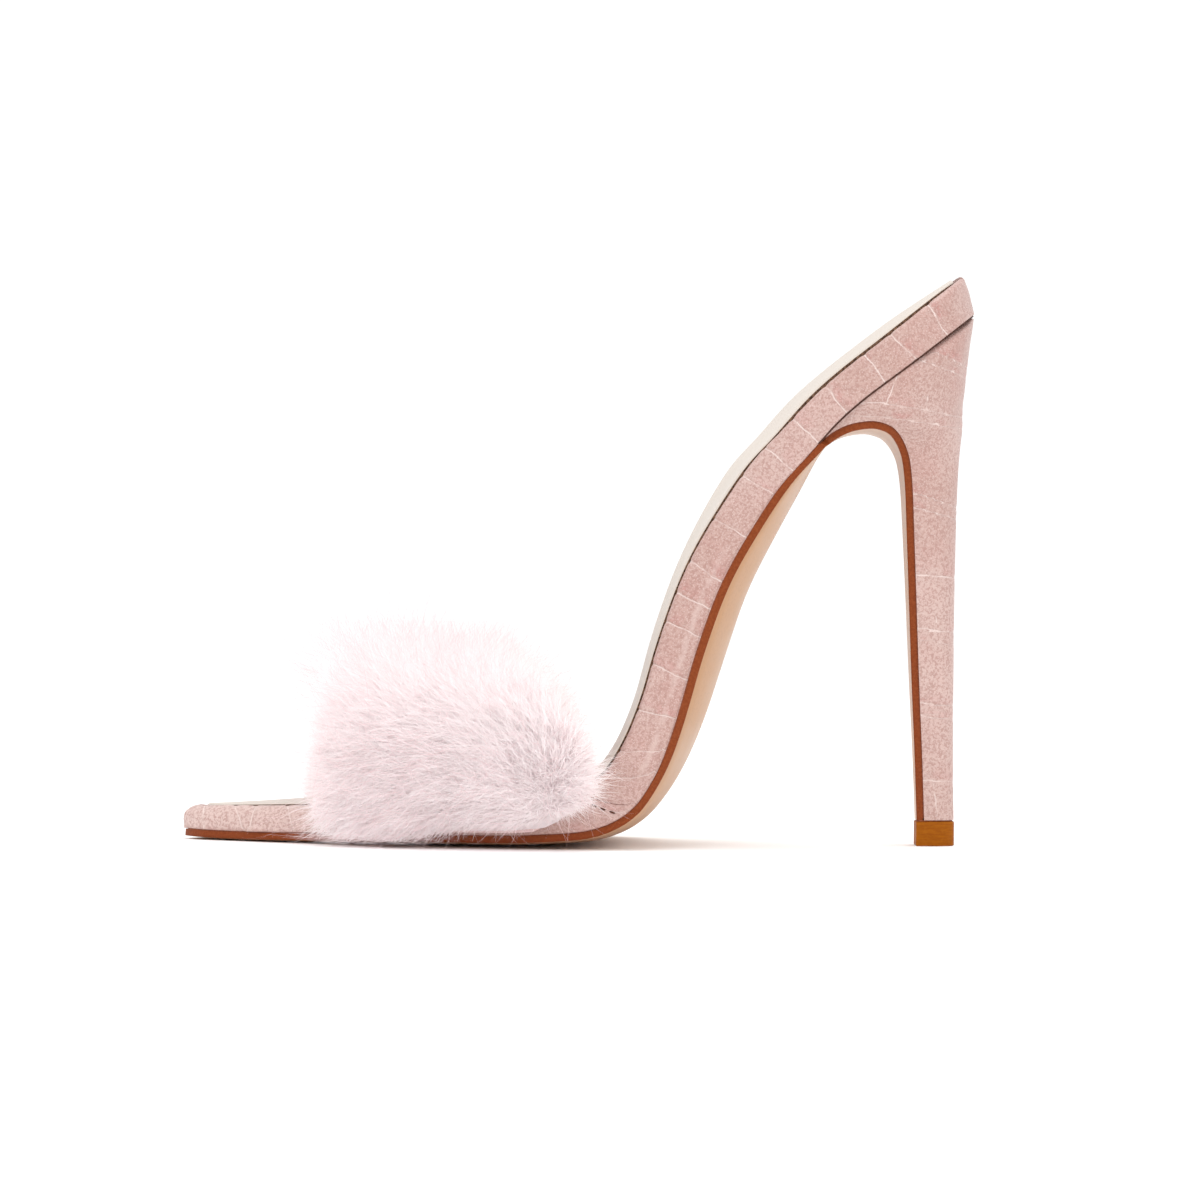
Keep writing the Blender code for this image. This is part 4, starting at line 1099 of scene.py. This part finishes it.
def gap_strip(name, start, end, inset):
    """A strip between the sole line and the footbed, from one length to another."""
    rings = []
    lengths = dense_stations(0.003)
    for s in lengths[(lengths > start) & (lengths < end)]:
        left, right, slants = edges_at(s)
        left, right = left + inset / slants[0], right - inset / slants[1]
        if right - left < 0.001:
            continue
        y = np.linspace(left, right, 9)
        low = bottom_height(np.full(9, s), y) - BOND_OVER
        ring_h = np.concatenate([low, low[::-1] + GAP + 2 * BOND_OVER])
        rings.append(place(s + lap_shift(np.full(18, s), 0.0), np.concatenate([y, y[::-1]]), ring_h))
    return tube(name, rings)


def make_bonds(brown, dark):
    """Thin strips in the gaps: brown along the sole, dark between the footbed and the heel."""
    mouth = length_at_run(MOUTH)
    made = [gap_strip("bond", 0.0012, mouth + 0.0004, SOLE_INSET + 0.0001)]
    rings = []
    for s in np.linspace(ARCH_LEAD + 0.0005, BREAST_LINE.length - 0.0004, 96):
        point, points_on = on_breast(s)
        half = heel_half_width(*point) - SOLE_INSET - 0.00005
        low, high = -BOND_OVER, GAP + BOND_OVER
        rings.append(points_on(np.array([-half, half, half, -half]), np.array([low, low, high, high])))
    made.append(tube("bond", rings))
    inset = 0.0003
    front, back, half, _ = stem_at(TOP_PIECE_HEIGHT)
    turn = np.linspace(-math.pi / 2, math.pi / 2, 21)
    x = front - SOLE_THICKNESS + inset + (back - front + SOLE_THICKNESS - 2 * inset) * np.cos(turn) ** 0.8
    y = (half - inset) * np.sin(turn)
    levels = (TOP_PIECE_HEIGHT - BOND_OVER, TOP_PIECE_HEIGHT + GAP + BOND_OVER)
    made.append(tube("bond", [[(a, b, z) for a, b in zip(x, y)] for z in levels]))
    add_piece("bond_lines", joined("bond_lines", made), [brown])
    seam = gap_strip("seat_seam", mouth - 0.0004, SOLE_LINE.length - 0.0005, 0.00014)
    add_piece("seat_seam", seam, [dark])


# Strap


STRAP_WALL_SHARE = 0.10  # share of its u that each end takes to climb the footbed's wall


def widest_edge(s, share_up, side):
    """How far out the wall stands at length s, where the lap's slant carries another section."""
    moved = float(lap_shift(s, share_up))
    return max(abs(float(edges([s - k * moved])[side][0])) for k in (0.0, 0.7, 1.4))


def strap_point(u, v):
    """A point of the strap. u runs from the outer foot to the inner one, v from the front edge back."""
    side = -1.0 if u < 0.5 else 1.0
    rise = min(u, 1 - u) / STRAP_WALL_SHARE
    base = STRAP_BASE_FRONT + (STRAP_BASE_REAR - STRAP_BASE_FRONT) * v
    base += STRAP_MEDIAL_SHIFT * (side > 0)
    base += max(0.0, 1 - rise) * (STRAP_FOOT_TAPER[0] * (1 - v) - STRAP_FOOT_TAPER[1] * v)
    one = np.array([base])
    wall = widest_edge(base, min(rise, 1.0), int(side > 0)) + STRAP_GAP + COVER_LAP
    foot = float(bottom_height(one, side * wall)[0]) + STRAP_FOOT
    rim = float(top_height(one, side * wall)[0]) - RIM_RADIUS
    if rise < 1:
        return place(one, side * wall, [foot + (rim - foot) * rise])[0]
    start = place(one, side * wall, [rim])[0]
    turn = (min(u, 1 - u) - STRAP_WALL_SHARE) / (0.5 - STRAP_WALL_SHARE) * math.pi / 2
    crest_x, crest_z = (a + (b - a) * v for a, b in zip(STRAP_CREST_FRONT, STRAP_CREST_REAR))
    crest_x, crest_z = run_to_x(0) + crest_x, SOLE_THICKNESS + crest_z
    up = math.sin(turn) ** 0.92
    out = math.cos(turn) ** 0.86
    x = start[0] + (crest_x - start[0]) * up ** (1.3 + 0.7 * v)
    y = start[1] * out + side * STRAP_BULGE * math.sin(2 * turn) ** 2
    z = start[2] + (crest_z - start[2]) * up
    return np.array([x, y, z])


def strap_grid(us, vs):
    return np.array([[strap_point(u, v) for u in us] for v in vs])


def grid_normals(grid):
    normals = np.cross(np.gradient(grid, axis=0), np.gradient(grid, axis=1))
    return normals / np.linalg.norm(normals, axis=2)[:, :, None]


def shell(name, inner, outer):
    """A closed mesh between two grids of points."""
    rows, columns = inner.shape[:2]
    low = np.arange(rows * columns).reshape(rows, columns)
    high = low + rows * columns
    faces = []
    for grid, flip in ((low, 1), (high, -1)):
        corners = [grid[:-1, :-1], grid[:-1, 1:], grid[1:, 1:], grid[1:, :-1]]
        faces += np.stack(corners, axis=-1).reshape(-1, 4)[:, ::flip].tolist()
    border = [(0, j) for j in range(columns)] + [(i, columns - 1) for i in range(1, rows)]
    border += [(rows - 1, j) for j in range(columns - 2, -1, -1)] + [(i, 0) for i in range(rows - 2, 0, -1)]
    for (a, b), (c, d) in zip(border, border[1:] + border[:1]):
        faces.append([int(low[a, b]), int(high[a, b]), int(high[c, d]), int(low[c, d])])
    mesh = bpy.data.meshes.new(name)
    points = np.concatenate([inner.reshape(-1, 3), outer.reshape(-1, 3)])
    mesh.from_pydata(points.tolist(), [], faces)
    face_outward(mesh)
    return mesh


def make_strap(material):
    wall = np.linspace(0, STRAP_WALL_SHARE, 7)[:-1]
    us = np.concatenate([wall, np.linspace(STRAP_WALL_SHARE, 1 - STRAP_WALL_SHARE, 61), 1 - wall[::-1]])
    inner = strap_grid(us, np.linspace(0, 1, 17))
    outer = inner + grid_normals(inner) * STRAP_THICKNESS
    add_piece("strap", shell("strap", inner, outer), [material], ["vamp_strap"])


# Fur


BODY_DEPTH = 0.0050
BODY_FLOOR = 0.0022  # lowest the dense body hangs
REAR_FOOT_DRAW = 0.0022  # how far the pile is drawn to the toe at its rear feet
PILE_MIDDLE = (-0.003, 0.016)  # x and z of the middle that the hairs point away from
REAR_FOOT = (0.027, 0.005)  # x and z of the rear foot, which the hairs on the sides point away from
ROOT_SINK = 0.0006
FUR_FLOOR = 0.0004  # lowest a hair hangs
FUR_REACH = 0.0655  # furthest a hair's points lie to either side
REAR_HAIR = 0.016  # longest a hair is on the pile's rear part
# Name, hairs, points to a hair, shortest and longest (m), root width (m), scatter, share drawn into locks.
FUR_BATCHES = (
    ("fur_under", 40000, 3, 0.0045, 0.0080, 0.00024, 0.34, 0.45),
    ("fur_pile_a", 22000, 5, 0.0055, 0.0110, 0.00017, 0.36, 0.55),
    ("fur_pile_b", 22000, 5, 0.0055, 0.0115, 0.00017, 0.40, 0.55),
    ("fur_guard_a", 16500, 6, 0.0080, 0.0160, 0.00012, 0.46, 0.50),
    ("fur_guard_b", 16500, 6, 0.0080, 0.0180, 0.00011, 0.52, 0.30),
    ("fur_wisps", 7500, 8, 0.0120, 0.0290, 0.00009, 0.66, 0.0),
)


def from_foot(u):
    """How far u lies from the nearer foot: 0 at a foot, 0.5 on the crest."""
    return np.minimum(u, 1 - u)


def fur_body():
    """The pile's dense body: its inner and outer grid, the outer one's normals, and the grid's u and v."""
    us = np.linspace(0.012, 0.988, 97)
    spread = FUR_OVERHANG / (STRAP_BASE_REAR - STRAP_BASE_FRONT)
    vs = np.linspace(-spread, 1 + spread, 33)
    strap = strap_grid(us, vs)
    normals = grid_normals(strap)
    low_rear = ramped(vs, 0.6, 0.4)[:, None] * np.clip(1 - from_foot(us) / 0.2, 0, 1)[None, :]
    strap[:, :, 0] -= REAR_FOOT_DRAW * low_rear
    inner = strap + normals * (STRAP_THICKNESS + GAP)
    crown = np.sqrt(1 - np.abs(np.linspace(-0.985, 0.985, len(vs))) ** 2.4)[:, None]
    low_ends = 0.30 + 0.70 * ramped(from_foot(us), 0, 0.25)[None, :] ** 0.8
    outer = inner + normals * (BODY_DEPTH * crown * low_ends)[:, :, None]
    for grid in (inner, outer):
        grid[:, :, 2] = np.maximum(grid[:, :, 2], BODY_FLOOR)
    return us, vs, inner, outer, grid_normals(outer)


def read_grid(grid, i, j):
    """The grid's values at fractional row i and column j."""
    low_i = np.clip(i.astype(int), 0, grid.shape[0] - 2)
    low_j = np.clip(j.astype(int), 0, grid.shape[1] - 2)
    fi, fj = (i - low_i)[:, None], (j - low_j)[:, None]
    a, b = grid[low_i, low_j], grid[low_i, low_j + 1]
    c, d = grid[low_i + 1, low_j], grid[low_i + 1, low_j + 1]
    return (a * (1 - fj) + b * fj) * (1 - fi) + (c * (1 - fj) + d * fj) * fi


def waves(seed, u, v, scale):
    """A smooth made-up field over the strap, between about -1 and 1."""
    chance = np.random.default_rng(seed)
    total = 0
    for _ in range(6):
        a, b, phase = chance.normal(0, scale, 3)
        total = total + np.sin(a * u * 6.0 + b * v * 3.0 + phase * 9)
    return total / 3


def away_from(points, middle):
    """Directions in side view from a middle, given as x and z, to the points."""
    return unit(np.stack([points[:, 0] - middle[0], points[:, 0] * 0, points[:, 2] - middle[1]], axis=1))


def pile_flow(u, v, root, normal):
    """Where the hairs lie over to: out from the pile's middle, and on its sides out from the rear foot."""
    side = np.where(u < 0.5, -1.0, 1.0)
    q = ramped(from_foot(u), 0, 0.5)
    radial, fan = away_from(root, PILE_MIDDLE), away_from(root, REAR_FOOT)
    face = ramped(np.abs(normal[:, 1]), 0.25, 0.5)
    foot = np.clip(1 - q / 0.34, 0, 1)
    x = radial[:, 0] * (1 - face) + 0.90 * fan[:, 0] * face
    z = radial[:, 2] * (1 - face) + (0.45 * fan[:, 2] - 0.12 - 0.55 * foot) * face
    y = side * 0.34 * (1 - q)
    swirls = ((3, 0.26), (5, 0.26), (7, 0.28))
    flow = [a + size * waves(seed, u, v, 1.7) for a, (seed, size) in zip((x, y, z), swirls)]
    return np.stack(flow, axis=1)


def hair_paths(u, v, i, j, outer, normals, length, spread, rng, points):
    """Points of each hair from root to tip."""
    count = len(u)
    root, normal = read_grid(outer, i, j), unit(read_grid(normals, i, j))
    flow = pile_flow(u, v, root, normal)
    scatter = rng.normal(0, 1, (count, 3)) * spread[:, None]
    start = unit(normal + flow * 0.60 + scatter * 0.7)
    end = unit(normal * 0.20 + flow + scatter + np.array([0, 0, -0.12]))
    curl = rng.normal(0, 0.22, (count, 3)) * np.minimum(length / 0.012, 1.6)[:, None]
    bend = rng.uniform(2.2, 5.2, count)[:, None]
    floor = FUR_FLOOR + 0.0016 * rng.random(count) ** 2
    step = length / (points - 1)
    path = [root - start * ROOT_SINK]
    for k in range(1, points):
        t = (k - 0.5) / (points - 1)
        way = unit(start * (1 - t) + end * t + curl * np.sin(bend * t) * 1.2)
        following = path[-1] + way * step[:, None]
        under = following[:, 2] < floor
        flat = way.copy()
        flat[:, 2] = 0.05
        following = np.where(under[:, None], path[-1] + unit(flat) * step[:, None], following)
        following[:, 1] = np.clip(following[:, 1], -FUR_REACH, FUR_REACH)
        following[:, 2] = np.maximum(following[:, 2], floor)
        path.append(following)
    return np.stack(path, axis=1)


def gathered(paths, u, v, cells, share):
    """Draws the hairs of a cell together towards their tips, so that they lie in locks."""
    cu = np.floor(u * cells * 2.2 + 1.3 * waves(11, u, v, 3.0)).astype(int)
    cv = np.floor(v * cells * 0.9 + 1.3 * waves(13, u, v, 3.0)).astype(int)
    _, group = np.unique(cu * 4096 + cv, return_inverse=True)
    group = group.ravel()
    number = np.bincount(group).astype(float)
    t = np.linspace(0, 1, paths.shape[1])
    moved = paths.copy()
    for p in range(1, paths.shape[1]):
        middle = np.stack([np.bincount(group, paths[:, p, a]) / number for a in range(3)], axis=1)
        moved[:, p] += (middle[group] - paths[:, p]) * share * t[p] ** 0.8
    moved[:, :, 2] = np.maximum(moved[:, :, 2], FUR_FLOOR)
    return moved


def hair_mesh(name, paths, widths, own, rng):
    """A joined mesh of narrow, pointed ribbons, one to a hair."""
    count, points = paths.shape[:2]
    way = unit(paths[:, 1] - paths[:, 0])
    across = unit(np.cross(way, unit(rng.normal(0, 1, (count, 3)))))
    t = np.linspace(0, 1, points)
    taper = (1 - t**1.7)[None, :] * widths[:, None] / 2
    left = paths[:, :-1] - across[:, None, :] * taper[:, :-1, None]
    right = paths[:, :-1] + across[:, None, :] * taper[:, :-1, None]
    pairs = np.stack([left, right], axis=2).reshape(count, 2 * (points - 1), 3)
    verts = np.concatenate([pairs, paths[:, -1:]], axis=1)
    size = verts.shape[1]
    along = np.concatenate([np.repeat(t[:-1], 2), [1.0]])
    base = (np.arange(count) * size)[:, None, None]
    rungs = np.arange(points - 2)
    quads = np.stack([2 * rungs, 2 * rungs + 1, 2 * rungs + 3, 2 * rungs + 2], axis=1)[None] + base
    tips = np.array([[size - 3, size - 2, size - 1]])[None] + base
    loops = np.concatenate([part.reshape(count, -1) for part in (quads, tips)], axis=1)
    loops = loops.astype(np.int32).ravel()
    totals = np.tile(np.array([4] * (points - 2) + [3], np.int32), count)
    starts = (np.cumsum(totals) - totals).astype(np.int32)
    mesh = bpy.data.meshes.new(name)
    mesh.vertices.add(count * size)
    mesh.vertices.foreach_set("co", verts.astype(np.float32).ravel())
    mesh.loops.add(len(loops))
    mesh.loops.foreach_set("vertex_index", loops)
    mesh.polygons.add(len(totals))
    mesh.polygons.foreach_set("loop_start", starts)
    mesh.polygons.foreach_set("loop_total", totals)
    mesh.update(calc_edges=True)
    set_uv(mesh, "hair", np.stack([np.repeat(own, size), np.tile(along, count)], axis=1))
    return mesh


def trimmed(length, u, v, points):
    """Lengths of the hairs after a trim: shorter at the rear feet, the front top and the rear top."""
    near = from_foot(u)
    q = near / 0.5
    rear_foot = np.clip(1.5 - near / 0.09, 0, 1) * ramped(v, 0.35, 0.3)
    front_top = ramped(near, 0.04, 0.1) * np.clip(1 - v / 0.4, 0, 1)
    rear_rim = ramped(v, 0.6, 0.3) * ramped(q, 0.25, 0.10) * np.clip((0.70 - q) / 0.2, 0, 1)
    rear_top = ramped(v, 0.4, 0.3) * ramped(q, 0.60, 0.2)
    length = length * (1 - 0.88 * rear_foot) * (1 - (0.32 if points < 8 else 0.0) * front_top)
    length = length * (1 + (0.40 if points < 6 else 0.0) * rear_rim) * (1 - 0.35 * rear_top)
    return np.where(v > 0.6, np.minimum(length, REAR_HAIR), length)


def make_fur(material, wisp, body_material):
    """The fur: a dense body, and six layers of single hairs rooted on it."""
    us, vs, inner, outer, normals = fur_body()
    body = shell("fur_body", inner, outer)
    set_uv(body, "hair", np.tile([0.3, 0.15], (len(body.vertices), 1)))
    add_piece("fur_body", body, [body_material], ["vamp_fur"], sharp=80)
    rows, columns = len(vs) - 1, len(us) - 1
    for k, (name, count, points, short, long, width, spread, tight) in enumerate(FUR_BATCHES):
        rng = np.random.default_rng(100 + k)
        i = rng.random(count) * rows
        j = rng.random(count) * columns
        kept = rng.random(count) < 0.35 + 0.65 * ramped(np.minimum(j, columns - j), 0, 14.0)
        i, j = i[kept], j[kept]
        count = len(i)
        u = us[0] + (us[-1] - us[0]) * j / columns
        v = vs[0] + (vs[-1] - vs[0]) * i / rows
        length = trimmed(short + (long - short) * rng.random(count) ** 1.6, u, v, points)
        spreads = spread * (0.5 + rng.random(count))
        paths = hair_paths(u, v, i, j, outer, normals, length, spreads, rng, points)
        for cells, share in ((26.0, 0.45 * tight), (58.0, 0.55 * tight)):
            paths = gathered(paths, u, v, cells, share)
        mesh = hair_mesh(name, paths, width * (0.7 + 0.6 * rng.random(count)), rng.random(count), rng)
        add_piece(name, mesh, [wisp if name == "fur_wisps" else material], smooth=False)


# Stage


LIT_POINT = Vector((0.03, 0.0, 0.05))  # the lights face it


def make_stage():
    mesh = bpy.data.meshes.new("studio_floor")
    mesh.from_pydata([(-9, -5, 0), (9, -5, 0), (9, 12, 0), (-9, 12, 0)], [], [(0, 1, 2, 3)])
    n = Nodes("studio_white", roughness=0.9, specular_ior_level=0.1)
    mesh.materials.append(n.finish((0.96, 0.96, 0.96)))
    floor = put_in_scene("studio_floor", mesh)
    world = bpy.data.worlds.new("studio_air")
    bpy.context.scene.world = world
    world.use_nodes = True
    back = world.node_tree.nodes["Background"]
    back.inputs["Color"].default_value = (1.0, 1.0, 1.0, 1)
    back.inputs["Strength"].default_value = 1.10
    add_light("key", (-0.8, -1.5, 1.1), 9.0, 1.3)
    add_light("fill", (1.2, -1.3, 0.8), 5.0, 1.3)
    add_light("top", (0.1, 0.4, 1.9), 12.0, 1.4)
    scene = bpy.context.scene
    scene.view_settings.view_transform = "Standard"
    # light has to pass many hairs before white fur looks white
    scene.cycles.max_bounces = 16
    scene.cycles.diffuse_bounces = 14


def add_light(name, place_at, power, size):
    data = bpy.data.lights.new(name, "AREA")
    data.shape = "DISK"
    data.size = size
    data.energy = power
    item = put_in_scene(name, data)
    item.location = place_at
    item.rotation_mode = "QUATERNION"
    item.rotation_quaternion = (LIT_POINT - item.location).to_track_quat("-Z", "Y")


def make_camera():
    data = bpy.data.cameras.new("photo_camera")
    data.lens = 150.0
    data.sensor_width = 36.0
    item = put_in_scene("photo_camera", data)
    turn = Matrix.Rotation(math.radians(90), 4, "X") @ Matrix.Rotation(math.radians(0.5), 4, "Z")
    item.matrix_world = Matrix.Translation((0.03817, -1.2, 0.0582)) @ turn
    bpy.context.scene.camera = item


cover = cover_material()
# the lap's cut edge, and the painted shadow line along the lap
cover_piece = make_cover(cover, edge_material("cut_edge_and_shadow", (0.150, 0.060, 0.045), (0.330, 0.190, 0.165)))
make_stitches(edge_material("thread", (0.060, 0.022, 0.013), (0.110, 0.045, 0.030)), cover_piece)
make_insole(
    plain_leather("sock_leather", (0.558, 0.494, 0.436), 1300.0, 0.5, 0.05, 0.03, 0.15),
    edge_material("raw_edge", (0.046, 0.021, 0.011), (0.190, 0.106, 0.064)),
)
make_outsole(
    plain_leather("sole_leather", (0.457, 0.251, 0.127), 1200.0, 0.42, 0.10, 0.04, 0.15),
    edge_material("painted_edge", (0.185, 0.038, 0.009), (0.225, 0.052, 0.014), 0.50),
)
make_heel(cover)
make_top_piece(top_piece_material())
make_bonds(
    edge_material("bond", (0.176, 0.048, 0.021), (0.240, 0.072, 0.035), 0.6),
    edge_material("seam", (0.046, 0.018, 0.012), (0.087, 0.038, 0.027), 0.7),
)
make_strap(plain_leather("strap_lining", (0.740, 0.560, 0.540), 1600.0, 0.75, 0.0, 0.05, 0.3))
make_fur(
    fur_material("fur_hair"),
    fur_material("fur_wisp", (0.830, 0.630, 0.645), (0.930, 0.765, 0.780)),
    # the dense body takes the roots' painted shade
    fur_material("fur_depth"),
)
make_stage()
make_camera()
